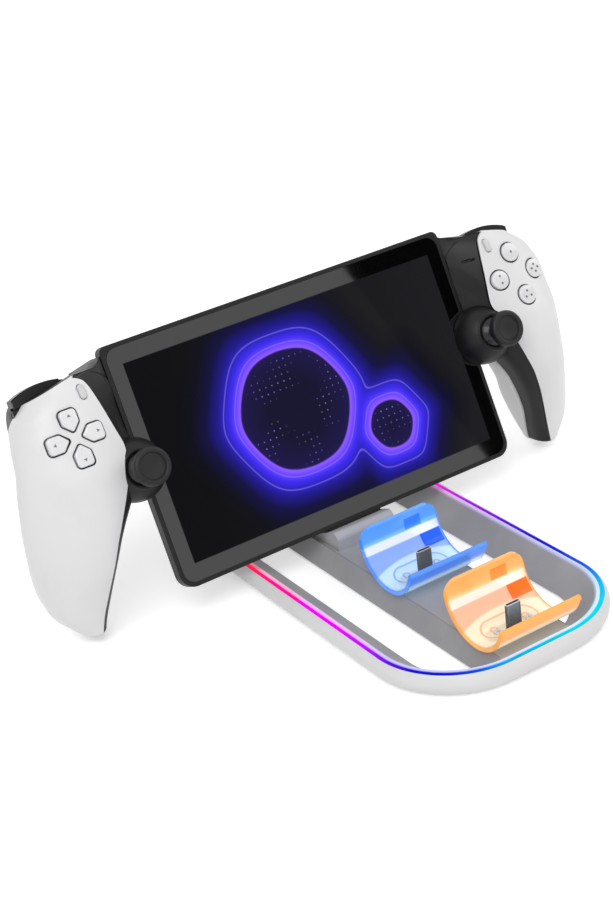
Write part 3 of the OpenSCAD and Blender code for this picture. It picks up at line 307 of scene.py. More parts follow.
class Moulded(Enum):
    """The plain finishes of the object.

    Each row gives the material's name, its colour and its darker mottle, the roughness and how far
    it strays, the grain's spacing and depth and the mottle's spacing.
    """

    # Injection-moulded ABS with a fine texture: a soft even sheen without sharp reflections.
    GRIP_WHITE = Finish(
        "textured_abs_white", "#ebebec", "#e5e5e6", 0.4, 0.06, 0.3125, 0.008, 33.333)
    # ABS from a smoother mould: a slightly clearer sheen along the dock's wall.
    DOCK_WHITE = Finish("smooth_abs_white", "#e8e8e9", "#e0e0e1", 0.36, 0.05, 0.3846, 0.006, 41.667)
    # Satin ABS, moulded pale gray: broad soft highlights on the stand.
    STAND_PALE = Finish("satin_abs_pale", "#bdbdc0", "#b0b0b4", 0.42, 0.06, 0.3846, 0.01, 20.0)
    # Spark-textured polycarbonate: a dull black that greys where it turns to the light.
    SHELL_BLACK = Finish(
        "textured_polycarbonate_black", "#19191a", "#121213", 0.42, 0.08, 0.35714, 0.02, 16.667,
        specular=0.33)
    # Smooth moulded polycarbonate: a tighter sheen on the parts that fingers press.
    SOFT_BLACK = Finish(
        "smooth_polycarbonate_black", "#18181a", "#111112", 0.3, 0.07, 0.41667, 0.01, 12.5,
        specular=0.42)
    # Moulded acetal: a waxy gloss with one narrow highlight down the stem.
    SATIN_STEM = Finish(
        "moulded_acetal_black", "#1e1e20", "#171719", 0.24, 0.06, 0.55556, 0.006, 8.3333,
        specular=0.45)
    # Silicone rubber over a hard core: a soft black with hardly any highlight.
    RUBBER = Finish(
        "silicone_rubber_black", "#1b1b1c", "#141415", 0.5, 0.1, 0.45455, 0.02, 11.111,
        specular=0.4)
    # Pressed rubber: matt and a little dusty.
    FOOT = Finish("pressed_rubber_gray", "#3a3a3c", "#323234", 0.8, 0.08, 0.55556, 0.04, 8.3333)
    # Coarsely textured ABS under the dock: matt mid gray.
    COVER = Finish("coarse_abs_gray", "#77777a", "#6c6c6f", 0.6, 0.08, 0.5, 0.03, 14.286)
    # Nickel-plated steel: bright with slightly blurred reflections.
    STEEL = Finish(
        "nickel_plated_steel", "#c3c5c9", "#aeb0b5", 0.28, 0.1, 1.1111, 0.006, 4.5455, metallic=1.0)
    # Blackened steel: dark metal with worn gray lights.
    DARK_METAL = Finish(
        "blackened_steel", "#4c4c50", "#3a3a3e", 0.35, 0.08, 1.1111, 0.006, 4.5455, metallic=1.0)
    # Deep-drawn steel: smooth gray metal that mirrors its surroundings softly.
    PLUG_STEEL = Finish(
        "drawn_steel_gray", "#94969b", "#86888d", 0.3, 0.04, 1.1111, 0.0008, 16.667, metallic=1.0)
    # Dark metal ring: a thin dark line round each key that is painted shade of the key's gap, with
    # bright glints from the metal shader.
    RING_METAL = Finish(
        "anodised_aluminium_dark", "#515357", "#3a3c40", 0.2, 0.08, 1.4286, 0.002, 3.8462,
        metallic=0.9)
    # Glass-fibre board under solder mask: a glossy deep green.
    BOARD = Finish("solder_mask_green", "#1c5a3a", "#174a30", 0.4, 0.06, 0.66667, 0.01, 3.3333)
    # Laminated aluminium foil: a pale crinkled metal.
    CELL = Finish(
        "laminated_foil_silver", "#b8b9bd", "#a5a6aa", 0.35, 0.08, 2.0, 0.02, 16.667, metallic=0.8)
    # Clear polycarbonate, printed white behind: glassy highlights on a white key.
    KEY = Finish(
        "clear_polycarbonate_key", "#f8f8f9", "#f1f1f3", 0.1, 0.04, 1.1111, 0.001, 16.667, coat=0.7,
        clear=0.1)
    # Satin polycarbonate: a plain pale key.
    PILL = Finish("satin_polycarbonate_pale", "#dededf", "#d4d4d6", 0.3, 0.05, 0.66667, 0.004, 12.5)
    # Pad-printed ink: flat mid gray.
    MARK = Finish("pad_printed_ink_gray", "#7c7e84", "#6e7076", 0.5, 0.05, 0.55556, 0.01, 11.111)
    # Moulded nylon: a black that hardly reflects, on the plug's tongue, whose black also stands for
    # painted shade deep in the mouth.
    MOUTH = Finish("moulded_nylon_black", "#0c0c0d", "#080809", 0.5, 0.08, 0.5, 0.01, 5.0)


class Library:
    """Builds each material once and hands it out."""

    def __init__(self) -> None:
        """Starts with no material."""
        self.built: dict[str, bpy.types.Material] = {}

    def get(self, finish: Moulded) -> bpy.types.Material:
        """Material of a plain finish.

        Args:
            finish: The finish.

        Returns:
            Its material, made at the first call.
        """
        if finish.name not in self.built:
            self.built[finish.name] = finish.value.build()
        return self.built[finish.name]


LIBRARY = Library()


@dataclass(frozen=True)
class StripColours:
    """Colour of the light by its direction from the middle of the dock."""

    stops: Stops = (
        (0.0, "#f000e8"), (0.086, "#e800f0"), (0.125, "#b010f0"), (0.145, "#5a10d8"),
        (0.16, "#1a10c8"), (0.185, "#1018d0"), (0.203, "#0a50e0"), (0.22, "#08a0e8"),
        (0.25, "#08c0e8"), (0.31, "#10d8ee"), (0.336, "#10b8f0"), (0.358, "#0a60e6"),
        (0.381, "#0a28d4"), (0.407, "#1410c8"), (0.454, "#4a10d0"), (0.512, "#8a14d8"),
        (0.571, "#b818e0"), (0.61, "#e81acc"), (0.68, "#ff1a68"), (0.8, "#ff1a3c"),
        (0.896, "#ff1a4c"), (0.951, "#fa0898"),
    )

    def socket(self, graph: Graph) -> Socket:
        """Adds the colour to a material under construction.

        Args:
            graph: The material's tree.

        Returns:
            Colour output.
        """
        x, y, _z = graph.axes(graph.place())
        turns = graph.add("Math:DIVIDE", graph.add("Math:ARCTAN2", y, x), 2 * math.pi)
        return graph.add("ValToRGB", graph.add("Math:ADD", turns, 0.5), stops=self.stops)


@dataclass(frozen=True)
class StripGlow:
    """The lit line: an extruded opal acrylic guide, whose colour runs round the dock.

    The opal spreads the light, so the line glows evenly and hides its lamps.
    """

    strength: float = 1.05
    stray: float = 0.08
    lamp_pitch: float = 7.1429

    def build(self) -> bpy.types.Material:
        """Makes the material.

        Returns:
            The finished material.
        """
        graph = Graph(bpy.data.materials.new("opal_acrylic_guide"))
        uneven = graph.add("TexNoise", graph.place(), 1 / (self.lamp_pitch * MM), 1.0)
        low, high = self.strength * (1 - self.stray), self.strength * (1 + self.stray)
        return graph.close(graph.add(
            "BsdfPrincipled",
            Base_Color="#08080a",
            Roughness=0.4,
            Specular_IOR_Level=0.0,
            Emission_Color=StripColours().socket(graph),
            Emission_Strength=graph.stretch(uneven, low, high),
        ))


@dataclass(frozen=True)
class DeckGray:
    """Finely textured matt ABS of the deck, with painted light from the lit line on its edge: a
    pale painted highlight on the lip and a painted glow in the line's colours.

    Distances are in metres. The grain is coarser than the real 0.05 mm so that it shows.
    """

    half_w: float = 0.0576
    half_l: float = 0.1076
    radius: float = 0.041
    top: Point = (0.0085, 0.0105)
    # Reach and share of the painted lip highlight, then of the painted glow, in from the lit line.
    lip: Point = (0.0026, 0.0038)
    lip_share: float = 0.3
    wash: Point = (0.001, 0.0052)
    wash_share: float = 0.12
    mottle: float = 0.016667
    grain: float = 0.00033333
    grain_depth: float = 0.00002

    def build(self) -> bpy.types.Material:
        """Makes the material.

        Returns:
            The finished material.
        """
        graph = Graph(bpy.data.materials.new("matt_abs_gray"))
        where = graph.place()
        x, y, z = graph.axes(where)
        inwards = self.inwards(graph, x, y)
        drift = graph.stretch(graph.add("TexNoise", where, 1 / self.mottle, 3.0), 0.0, 1.0)
        grain = graph.add("TexNoise", where, 1 / self.grain, 3.0)
        plain = graph.add("Mix", drift, "#a7a7a9", "#9d9d9f", data_type="RGBA")
        high = graph.add("MapRange", z, *self.top, 0.0, 1.0)
        # Painted light by the lit line: a pale painted highlight on the lip and a painted glow that
        # spreads further in.
        lip, glow = (
            graph.add("Math:MULTIPLY", graph.add("MapRange", inwards, *reach, 1.0, 0.0), high)
            for reach in (self.lip, self.wash)
        )
        shares = ((lip, self.lip_share), (glow, self.wash_share))
        light = graph.add("Math:ADD", *(graph.add("Math:MULTIPLY", *pair) for pair in shares))
        return graph.close(graph.add(
            "BsdfPrincipled",
            Base_Color=graph.add("Mix", lip, plain, "#d9d9e2", data_type="RGBA"),
            Roughness=graph.stretch(grain, 0.47, 0.63),
            Specular_IOR_Level=0.4,
            Emission_Color=StripColours().socket(graph),
            Emission_Strength=light,
            Normal=graph.add("Bump", Height=grain, Strength=1.0, Distance=self.grain_depth),
        ))

    def inwards(self, graph: Graph, x: Value, y: Value) -> Socket:
        """Distance in from the lit line, which is a rounded rectangle.

        Args:
            graph: The material's tree.
            x: Coordinate across the dock.
            y: Coordinate along the dock.

        Returns:
            Metres inside the line.
        """
        beyond = []
        for value, half in ((x, self.half_w), (y, self.half_l)):
            size = graph.add("Math:ABSOLUTE", value)
            reach = graph.add("Math:SUBTRACT", size, half - self.radius)
            beyond.append(graph.add("Math:MAXIMUM", reach, 0.0))
        return graph.add("Math:SUBTRACT", self.radius, graph.far(*beyond))


@dataclass(frozen=True)
class DisplayGlass:
    """Polished cover glass with a printed black border and, behind its middle, the lit picture.

    The border reflects strongly, and the bonded picture hardly at all. The picture is two soft
    hexagons, large and small, each given by its middle across, its middle up and its inner radius.
    Distances are in metres.
    """

    width: float = 0.1771
    height: float = 0.0996
    middle: float = 0.0585
    edge: float = 0.0004
    strength: float = 1.0
    large: tuple[float, float, float] = (-0.011, 0.001, 0.031)
    small: tuple[float, float, float] = (0.037, -0.0235, 0.0125)
    corner_round: float = 0.3
    corner_blend: float = 0.7
    neck: float = 0.006
    glow_span: Point = (-0.012, 0.034)
    dark_from: float = 0.016
    slope_span: Point = (-0.07, 0.085)
    lines: tuple[float, ...] = (0.003, 0.0085)
    line_span: Point = (0.0001, 0.00045)
    dot_pitch: float = 0.0035
    dot_patch: float = 0.018182
    dot_edge: Point = (-0.002, -0.001)
    smudge: float = 0.016667
    stops: Stops = (
        (0.0, "#14102e"), (0.24, "#1c1548"), (0.256, "#241a62"), (0.268, "#8f5cff"),
        (0.32, "#6440ff"), (0.37, "#3e2cf0"), (0.43, "#2c22c4"), (0.51, "#1e1788"),
        (0.62, "#120e44"), (0.78, "#0a0920"), (1.0, "#060609"),
    )

    def build(self) -> bpy.types.Material:
        """Makes the material.

        Returns:
            The finished material.
        """
        graph = Graph(bpy.data.materials.new("polished_cover_glass"))
        where = graph.place((0.0, CONSOLE.y, CONSOLE.z), CONSOLE.turn)
        x, h, _depth = graph.axes(where)
        up = graph.add("Math:SUBTRACT", h, self.middle)
        spans = ((x, self.width / 2), (up, self.height / 2))
        inside = graph.add("Math:MULTIPLY", *(graph.within(*span, self.edge) for span in spans))
        smudge = graph.add("TexNoise", where, 1 / self.smudge, 3.0)
        return graph.close(graph.add(
            "BsdfPrincipled",
            Base_Color=graph.add("Mix", inside, "#070708", "#030304", data_type="RGBA"),
            Roughness=graph.stretch(smudge, 0.03, 0.06),
            Specular_IOR_Level=graph.add("MapRange", inside, 0.0, 1.0, 0.92, 0.04),
            Emission_Color=self.picture(graph, x, up),
            Emission_Strength=graph.add("Math:MULTIPLY", inside, self.strength),
        ))

    def picture(self, graph: Graph, x: Value, up: Value) -> Socket:
        """Lit picture: two joined hexagons in a glow, with fine lines round them and dots inside.

        Args:
            graph: The material's tree.
            x: Coordinate across.
            up: Coordinate up.

        Returns:
            Colour output.
        """
        shapes = (self.hexagon(graph, x, up, shape) for shape in (self.large, self.small))
        off = graph.add("Math:SMOOTH_MIN", *shapes, self.neck)
        glow = graph.add("MapRange", off, *self.glow_span, 0.0, 1.0)
        colour = graph.add("ValToRGB", glow, stops=self.stops)
        slope = graph.add("MapRange", x, *self.slope_span, 0.0, 1.0)
        dark = graph.add("Mix", slope, "#09090c", "#1f1f22", data_type="RGBA")
        outside = graph.add("MapRange", off, self.dark_from, self.glow_span[1], 0.0, 1.0)
        colour = graph.add("Mix", outside, colour, dark, data_type="RGBA")
        for line in self.lines:
            beside = graph.add("Math:ABSOLUTE", graph.add("Math:SUBTRACT", off, line))
            share = graph.add("MapRange", beside, *self.line_span, 0.3, 0.0)
            colour = graph.add("Mix", share, colour, "#a992ff", data_type="RGBA")
        within = graph.add("MapRange", off, *self.dot_edge, 1.0, 0.0)
        dots = graph.add("Math:MULTIPLY", self.dots(graph, x, up), within)
        return graph.add("Mix", dots, colour, "#8d8cf5", data_type="RGBA")

    def hexagon(
        self, graph: Graph, x: Value, y: Value, shape: tuple[float, float, float]
    ) -> Socket:
        """Distance out from a hexagon with rounded corners.

        Args:
            graph: The material's tree.
            x: Coordinate across.
            y: Coordinate up.
            shape: Middle across, middle up and inner radius.

        Returns:
            Metres outside the outline, negative inside it.
        """
        middle_x, middle_y, radius = shape
        dx = graph.add("Math:ABSOLUTE", graph.add("Math:SUBTRACT", x, middle_x))
        off = graph.add("Math:SUBTRACT", y, middle_y)
        square = graph.add("Math:MULTIPLY", off, off)
        soft = (self.corner_round * radius) ** 2
        dy = graph.add("Math:SQRT", graph.add("Math:ADD", square, soft))
        parts = ((dx, 0.866), (dy, 0.5))
        slant = graph.add("Math:ADD", *(graph.add("Math:MULTIPLY", *part) for part in parts))
        reach = graph.add("Math:SMOOTH_MAX", slant, dy, self.corner_blend * radius)
        return graph.add("Math:SUBTRACT", reach, radius)

    def dots(self, graph: Graph, x: Value, y: Value) -> Socket:
        """Fine regular grid of dots that fade in and out in patches.

        Args:
            graph: The material's tree.
            x: Coordinate across.
            y: Coordinate up.

        Returns:
            Share of the dots' colour.
        """
        total: Value = 0.0
        for value in (x, y):
            step = graph.add("Math:FRACT", graph.add("Math:DIVIDE", value, self.dot_pitch))
            part = graph.add("Math:SUBTRACT", step, 0.5)
            total = graph.add("Math:ADD", total, graph.add("Math:MULTIPLY", part, part))
        patches = graph.add("TexNoise", graph.place(), 1 / self.dot_patch, 1.0)
        return graph.add(
            "Math:MULTIPLY",
            graph.add("MapRange", total, 0.004, 0.014, 0.75, 0.0),
            graph.add("MapRange", patches, 0.48, 0.68, 0.0, 1.0),
        )


@dataclass(frozen=True)
class Translucent:
    """Tinted clear polycarbonate of a cradle, injection moulded.

    It is pale where it is thin and deep at its rims. A near-white band across its back wall is a
    painted highlight, and the plastic has a faint painted glow in its own colours, though it is no
    lamp.
    The pattern is laid out in metres: x across the cradle, and the way along its curved wall from
    the lowest line, which is positive towards the back. The IOR is lower than the real 1.58, since
    the walls are modelled solid and would bend the deck behind them too much.
    """

    name: str
    pale: str
    low: str
    tint: str
    deep: str
    rim: str
    y: float
    # Strength of the painted glow.
    glow: float = 0.22
    ior: float = 1.25
    axis_z: float = 0.0315
    wall_radius: float = 0.019
    half_w: float = 0.022
    low_from: Point = (0.0125, 0.0135)
    low_bend: float = 9.0
    low_share: float = 0.75
    tint_from: Point = (0.0228, 0.0236)
    band_from: Point = (0.0196, 0.0202)
    band_to: Point = (0.0238, 0.0244)
    band_share: float = 0.85
    lower_patch: tuple[Point, Point] = ((0.0152, 0.0164), (0.0056, 0.0034))
    upper_patch: tuple[Point, Point] = ((0.0076, 0.0274), (0.0045, 0.0026))
    upper_share: float = 0.75
    soft: float = 0.0003
    seat_y: float = 0.003
    seat_half: float = 0.009
    seat_radius: float = 0.0058
    boss_x: float = 0.0088
    boss_radius: float = 0.0016
    seat_share: float = 0.5
    end_rim: Point = (0.0011, 0.0004)
    long_rim: Point = (0.0265, 0.0285)
    rim_shift: float = 0.002
    rim_share: float = 0.6
    front_rim: Point = (-0.0205, -0.0175)
    edge_share: float = 0.85
    mottle: float = 0.016667

    def build(self) -> bpy.types.Material:
        """Makes the material.

        Returns:
            The finished material.
        """
        graph = Graph(bpy.data.materials.new(self.name))
        where = graph.place((0.0, self.y, self.axis_z))
        x, y, z = graph.axes(where)
        turn = graph.add("Math:ARCTAN2", y, graph.add("Math:MULTIPLY", z, -1.0))
        along = graph.add("Math:MULTIPLY", turn, self.wall_radius)
        edge = self.rims(graph, x, along)
        shares = (
            (self.lower_wall(graph, x, along), self.low),
            (graph.add("MapRange", along, *self.tint_from, 0.0, 1.0), self.tint),
            # Painted highlight: a near-white band across the back wall.
            (self.band(graph, along), "#fbfbf4"),
            (self.patches(graph, x, along), self.deep),
            (self.seat(graph, x, graph.add("Math:SUBTRACT", y, self.seat_y)), self.deep),
            (graph.add("Math:MULTIPLY", edge, self.edge_share), self.rim),
        )
        colour: Value = self.pale
        for share, shade in shares:
            colour = graph.add("Mix", share, colour, shade, data_type="RGBA")
        mottle = graph.add("TexNoise", where, 1 / self.mottle, 2.0)
        return graph.close(graph.add(
            "BsdfPrincipled",
            Base_Color=colour,
            Roughness=graph.stretch(mottle, 0.05, 0.09),
            Transmission_Weight=graph.add("MapRange", edge, 0.0, 1.0, 0.42, 0.2),
            IOR=self.ior,
            Coat_Weight=0.3,
            Coat_Roughness=0.04,
            # Painted glow: the plastic emits its own colour, though it is no lamp.
            Emission_Color=colour,
            Emission_Strength=self.glow,
        ))

    def lower_wall(self, graph: Graph, x: Value, along: Value) -> Socket:
        """Share of the darker lower wall, whose foot is bent.

        Args:
            graph: The material's tree.
            x: Coordinate across.
            along: Way along the wall.

        Returns:
            The share.
        """
        bend = graph.add("Math:MULTIPLY", graph.add("Math:MULTIPLY", x, x), self.low_bend)
        bent = graph.add("Math:ADD", along, bend)
        return graph.add("MapRange", bent, *self.low_from, 0.0, self.low_share)

    def band(self, graph: Graph, along: Value) -> Socket:
        """Share of the painted highlight, a pale band across the back wall.

        Args:
            graph: The material's tree.
            along: Way along the wall.

        Returns:
            The share.
        """
        rise = graph.add("MapRange", along, *self.band_from, 0.0, 1.0)
        fall = graph.add("MapRange", along, *self.band_to, 1.0, 0.0)
        return graph.add("Math:MULTIPLY", graph.add("Math:MULTIPLY", rise, fall), self.band_share)

    def patches(self, graph: Graph, x: Value, along: Value) -> Socket:
        """Share of the two deep straight-sided patches on the back wall.

        Args:
            graph: The material's tree.
            x: Coordinate across.
            along: Way along the wall.

        Returns:
            The share.
        """
        found = []
        for middle, half in (self.lower_patch, self.upper_patch):
            sides = (
                graph.within(graph.add("Math:SUBTRACT", value, at), reach, self.soft)
                for value, at, reach in zip((x, along), middle, half)
            )
            found.append(graph.add("Math:MULTIPLY", *sides))
        upper = graph.add("Math:MULTIPLY", found[1], self.upper_share)
        return graph.add("Math:ADD", found[0], upper)

    def seat(self, graph: Graph, x: Value, y: Value) -> Socket:
        """Share of the moulded line round the seat, with a round boss in each end.

        Args:
            graph: The material's tree.
            x: Coordinate across.
            y: Coordinate along, from the middle of the seat.

        Returns:
            The share.
        """
        reach = graph.add("Math:ABSOLUTE", x)
        beyond = graph.add("Math:MAXIMUM", graph.add("Math:SUBTRACT", reach, self.seat_half), 0.0)
        beside = graph.add("Math:SUBTRACT", reach, self.boss_x)
        circles = ((beyond, self.seat_radius), (beside, self.boss_radius))
        lines = (
            graph.within(
                graph.add("Math:SUBTRACT", graph.far(side, y), radius), self.soft, self.soft
            )
            for side, radius in circles
        )
        return graph.add("Math:MULTIPLY", graph.add("Math:MAXIMUM", *lines), self.seat_share)

    def rims(self, graph: Graph, x: Value, along: Value) -> Socket:
        """How deep the tint is at the cradle's ends, along its two long rims and at its front.

        Args:
            graph: The material's tree.
            x: Coordinate across.
            along: Way along the wall.

        Returns:
            The share of the rims' colour.
        """
        reach = graph.add("Math:ABSOLUTE", x)
        starts = (self.half_w - inset for inset in self.end_rim)
        end = graph.add("MapRange", reach, *starts, 0.0, 1.0)
        out = graph.add("Math:ABSOLUTE", graph.add("Math:ADD", along, self.rim_shift))
        rim = graph.add("MapRange", out, *self.long_rim, 0.0, 1.0)
        edge = graph.add("Math:MAXIMUM", end, graph.add("Math:MULTIPLY", rim, self.rim_share))
        front = graph.add("MapRange", along, *self.front_rim, 1.0, 0.0)
        return graph.add("Math:MAXIMUM", edge, front)


# ---------------------------------------------------------------- places


@dataclass(frozen=True)
class ConsolePlace:
    """The leaning console's axes: across, up along the glass, out of the glass."""

    lean: float = math.radians(24)
    y: float = 0.035
    z: float = 0.0205
    glass_w: float = 192.0
    glass_h: float = 117.0

    @property
    def turn(self) -> float:
        """Turn about X that carries the flat axes to the leaning ones."""
        return math.pi / 2 - self.lean

    def matrix(self) -> Matrix:
        """Carries console millimetres to the row frame's metres."""
        return (
            Matrix.Translation((0, self.y, self.z))
            @ Matrix.Rotation(self.turn, 4, "X")
            @ Matrix.Scale(MM, 4)
        )

    def side(self, side: int) -> Matrix:
        """Carries grip millimetres to the row frame's metres.

        Args:
            side: 1 for the right grip, -1 for the left one.

        Returns:
            The matrix, which mirrors on the left.
        """
        mirror = Matrix.Diagonal((side, 1, 1, 1))
        return self.matrix() @ mirror @ Matrix.Translation((self.glass_w / 2, self.glass_h / 2, 0))


CONSOLE = ConsolePlace()


class Side(Enum):
    """The two ends of the console."""

    LEFT = -1
    RIGHT = 1

    @property
    def prefix(self) -> str:
        """Start of the names of this side's pieces."""
        return self.name.lower()


# ---------------------------------------------------------------- mesh tools


def surface(
    columns: int, rows: int, place: Callable[[float, float], Vector], closed: bool = False
) -> bmesh.types.BMesh:
    """Grid bent into a surface.

    Args:
        columns: Faces along the first direction.
        rows: Faces along the second direction.
        place: Gives the point for two shares from 0 to 1.
        closed: Whether the first direction runs round and meets itself.

    Returns:
        The new mesh.
    """
    mesh = bmesh.new()
    bmesh.ops.create_grid(mesh, x_segments=columns, y_segments=rows, size=0.5)
    for vertex in mesh.verts:
        vertex.co = place(vertex.co.x + 0.5, vertex.co.y + 0.5)
    if closed:
        bmesh.ops.remove_doubles(mesh, verts=mesh.verts, dist=1e-4)
    return mesh


def lathe(profile: Sequence[Point], steps: int = 96) -> bmesh.types.BMesh:
    """Solid of revolution about Z.

    Args:
        profile: Radius and height of each point, from the bottom's middle to the top's middle.
        steps: Faces round the axis.

    Returns:
        The new mesh.
    """
    mesh = bmesh.new()
    verts = [mesh.verts.new((r, 0, z)) for r, z in profile]
    edges = [mesh.edges.new(pair) for pair in zip(verts, verts[1:])]
    bmesh.ops.spin(
        mesh, geom=verts + edges, cent=(0, 0, 0), axis=(0, 0, 1), dvec=(0, 0, 0),
        angle=2 * math.pi, steps=steps, use_merge=True,
    )
    bmesh.ops.remove_doubles(mesh, verts=mesh.verts, dist=1e-5)
    bmesh.ops.recalc_face_normals(mesh, faces=mesh.faces)
    return mesh

def prism(low: float, high: float, *outlines: Sequence[Point]) -> bmesh.types.BMesh:
    """Straight solids over outlines that don't touch.

    Args:
        low: Height of the lower faces.
        high: Height of the upper faces.
        *outlines: Corners of each solid in order.

    Returns:
        The new mesh.
    """
    mesh = bmesh.new()
    faces = [
        mesh.faces.new([mesh.verts.new((x, y, low)) for x, y in outline]) for outline in outlines
    ]
    made = bmesh.ops.extrude_face_region(mesh, geom=faces)
    lifted = [g for g in made["geom"] if isinstance(g, bmesh.types.BMVert)]
    bmesh.ops.translate(mesh, vec=(0, 0, high - low), verts=lifted)
    bmesh.ops.recalc_face_normals(mesh, faces=mesh.faces)
    return mesh


def round_rim(mesh: bmesh.types.BMesh, height: float, width: float) -> None:
    """Rounds the edges that lie at one height.

    Args:
        mesh: Mesh that is changed.
        height: Height of the rim.
        width: Width of the rounding.
    """
    rim = [e for e in mesh.edges if all(abs(v.co.z - height) < 1e-6 for v in e.verts)]
    bmesh.ops.bevel(
        mesh, geom=rim, offset=width, segments=5, profile=0.5, affect="EDGES", material=-1
    )


def arc(
    radius: Union[float, Point], start: float, end: float, steps: int, at: Point = (0.0, 0.0)
) -> list[Point]:
    """Points along an arc.

    Args:
        radius: Radius, or the two half axes of an ellipse.
        start: First angle in degrees.
        end: Last angle in degrees.
        steps: Number of stretches.
        at: Middle of the arc.

    Returns:
        One point more than there are stretches.
    """
    wide, high = radius if isinstance(radius, tuple) else (radius, radius)
    angles = [math.radians(start + (end - start) * i / steps) for i in range(steps + 1)]
    return [(at[0] + wide * math.cos(a), at[1] + high * math.sin(a)) for a in angles]


def circle(radius: float, steps: int, at: Point = (0.0, 0.0)) -> list[Point]:
    """Points of a circle, each once."""
    return arc(radius, 0, 360, steps, at)[:-1]


def add_object(name: str, data: bpy.types.ID) -> bpy.types.Object:
    """Adds an object to the scene.

    Args:
        name: Name of the object.
        data: Its mesh, light or camera.

    Returns:
        The new object.
    """
    added = bpy.data.objects.new(name, data)
    bpy.context.collection.objects.link(added)
    return added


def stand_up(
    name: str, mesh: bmesh.types.BMesh, matrix: Matrix = UNMOVED
) -> bpy.types.Object:
    """Turns a mesh into an object of the scene.

    Args:
        name: Name of the object.
        mesh: Geometry in its own units, freed here.
        matrix: Carries it to the row frame. It may mirror.

    Returns:
        The new object.
    """
    mesh.transform(matrix)
    if matrix.determinant() < 0:
        bmesh.ops.reverse_faces(mesh, faces=mesh.faces)
    data = bpy.data.meshes.new(name)
    mesh.to_mesh(data)
    mesh.free()
    return add_object(name, data)


@dataclass(frozen=True)
class Piece:
    """Turns a mesh into a finished piece of the object.

    The last field is the angle in degrees above which an edge is shaded sharp.
    """

    name: str
    body: str
    slot: str
    material: bpy.types.Material
    replaced: tuple[str, ...] = ()
    sharp: float = 32.0

    def make(self, mesh: bmesh.types.BMesh, matrix: Matrix = UNMOVED) -> bpy.types.Object:
        """Places the mesh, gives it its material and shades it.

        Args:
            mesh: Geometry in its own units, freed here.
            matrix: Carries it to the row frame.

        Returns:
            The new object.
        """
        piece = stand_up(self.name, mesh, matrix)
        piece.data.materials.append(self.material)
        piece.data.shade_smooth()
        piece.data.set_sharp_from_angle(angle=math.radians(self.sharp))
        return piece

    def finish(self, piece: bpy.types.Object) -> bpy.types.Object:
        """Args:
            piece: The finished object.

        Returns:
            The same object.
        """
        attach(piece, self.body)
        if self.replaced:
            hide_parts(*self.replaced)
        LOG.info("%s rides on %s, %d faces", piece.name, self.body, len(piece.data.polygons))
        return piece


def apply_modifiers(piece: bpy.types.Object) -> None:
    """Replaces an object's mesh by the result of its modifiers.

    Args:
        piece: Object that is changed.
    """
    graph = bpy.context.evaluated_depsgraph_get()
    shaped = bpy.data.meshes.new_from_object(piece.evaluated_get(graph))
    piece.modifiers.clear()
    piece.data = shaped


def carve(
    piece: bpy.types.Object, cutters: Sequence[bmesh.types.BMesh], matrix: Matrix
) -> None:
    """Cuts closed meshes out of an object.

    Args:
        piece: Object that is cut.
        cutters: Closed meshes in their own units, freed here.
        matrix: Carries them to the row frame.
    """
    tools = [stand_up(f"cutter_{index}", mesh, matrix) for index, mesh in enumerate(cutters)]
    for index, tool in enumerate(tools):
        modifier = piece.modifiers.new(f"cut_{index}", "BOOLEAN")
        modifier.operation = "DIFFERENCE"
        modifier.solver = "MANIFOLD"
        modifier.object = tool
    bpy.context.view_layer.update()
    apply_modifiers(piece)
    for tool in tools:
        bpy.data.objects.remove(tool)


def dress(node: str, material: bpy.types.Material) -> bpy.types.Object:
    """Gives a CAD node its finish.

    Args:
        node: Name of the CAD node.
        material: Its material.

    Returns:
        The node's object.
    """
    piece = frame["nodes"][node]
    if not piece.material_slots:
        piece.data.materials.append(material)
    for slot in piece.material_slots:
        slot.material = material
    LOG.info("%s dressed with %s", node, material.name)
    return piece


def node_slot(node: str) -> str:
    """Material slot that the record gives a CAD node."""
    parts = frame["record"]["subparts"]
    return next(part["material_slot"] for part in parts if part["node"] == node)


def soften(node: str, material: bpy.types.Material, width: float) -> bpy.types.Object:
    """Stands a copy with rounded edges in for a CAD node, or dresses the node where that fails.

    Args:
        node: Name of the CAD node.
        material: Its material.
        width: Width of the rounding in millimetres.

    Returns:
        The copy, or the node's own object.
    """
    weld, flat, crease, most_out = 2e-6, math.radians(0.4), math.radians(35), 2e-5
    source = frame["nodes"][node]
    mesh = bmesh.new()
    mesh.from_mesh(source.data)
    bmesh.ops.remove_doubles(mesh, verts=mesh.verts, dist=weld)
    bmesh.ops.dissolve_limit(mesh, angle_limit=flat, verts=mesh.verts, edges=mesh.edges)
    sharp = [e for e in mesh.edges if e.is_manifold and e.calc_face_angle() > crease]
    bmesh.ops.bevel(
        mesh, geom=sharp, offset=width * MM, offset_type="OFFSET", segments=2, profile=0.5,
        affect="EDGES", clamp_overlap=True, material=-1,
    )
    bmesh.ops.triangulate(mesh, faces=[f for f in mesh.faces if len(f.verts) > 4])
    open_edges = sum(not e.is_manifold for e in mesh.edges)
    low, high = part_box(node)
    out = max(max(low[i] - v.co[i], v.co[i] - high[i]) for v in mesh.verts for i in range(3))
    if open_edges or out > most_out:
        LOG.info("%s keeps its own edges: %d open, %.5f m out", node, open_edges, out)
        mesh.free()
        return dress(node, material)
    maker = Piece(f"{node}_skin", source["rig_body"], node_slot(node), material, (node,), 30)
    piece = maker.make(mesh)
    piece.modifiers.new("even_shading", "WEIGHTED_NORMAL").keep_sharp = True
    apply_modifiers(piece)
    return maker.finish(piece)


# ---------------------------------------------------------------- grip form


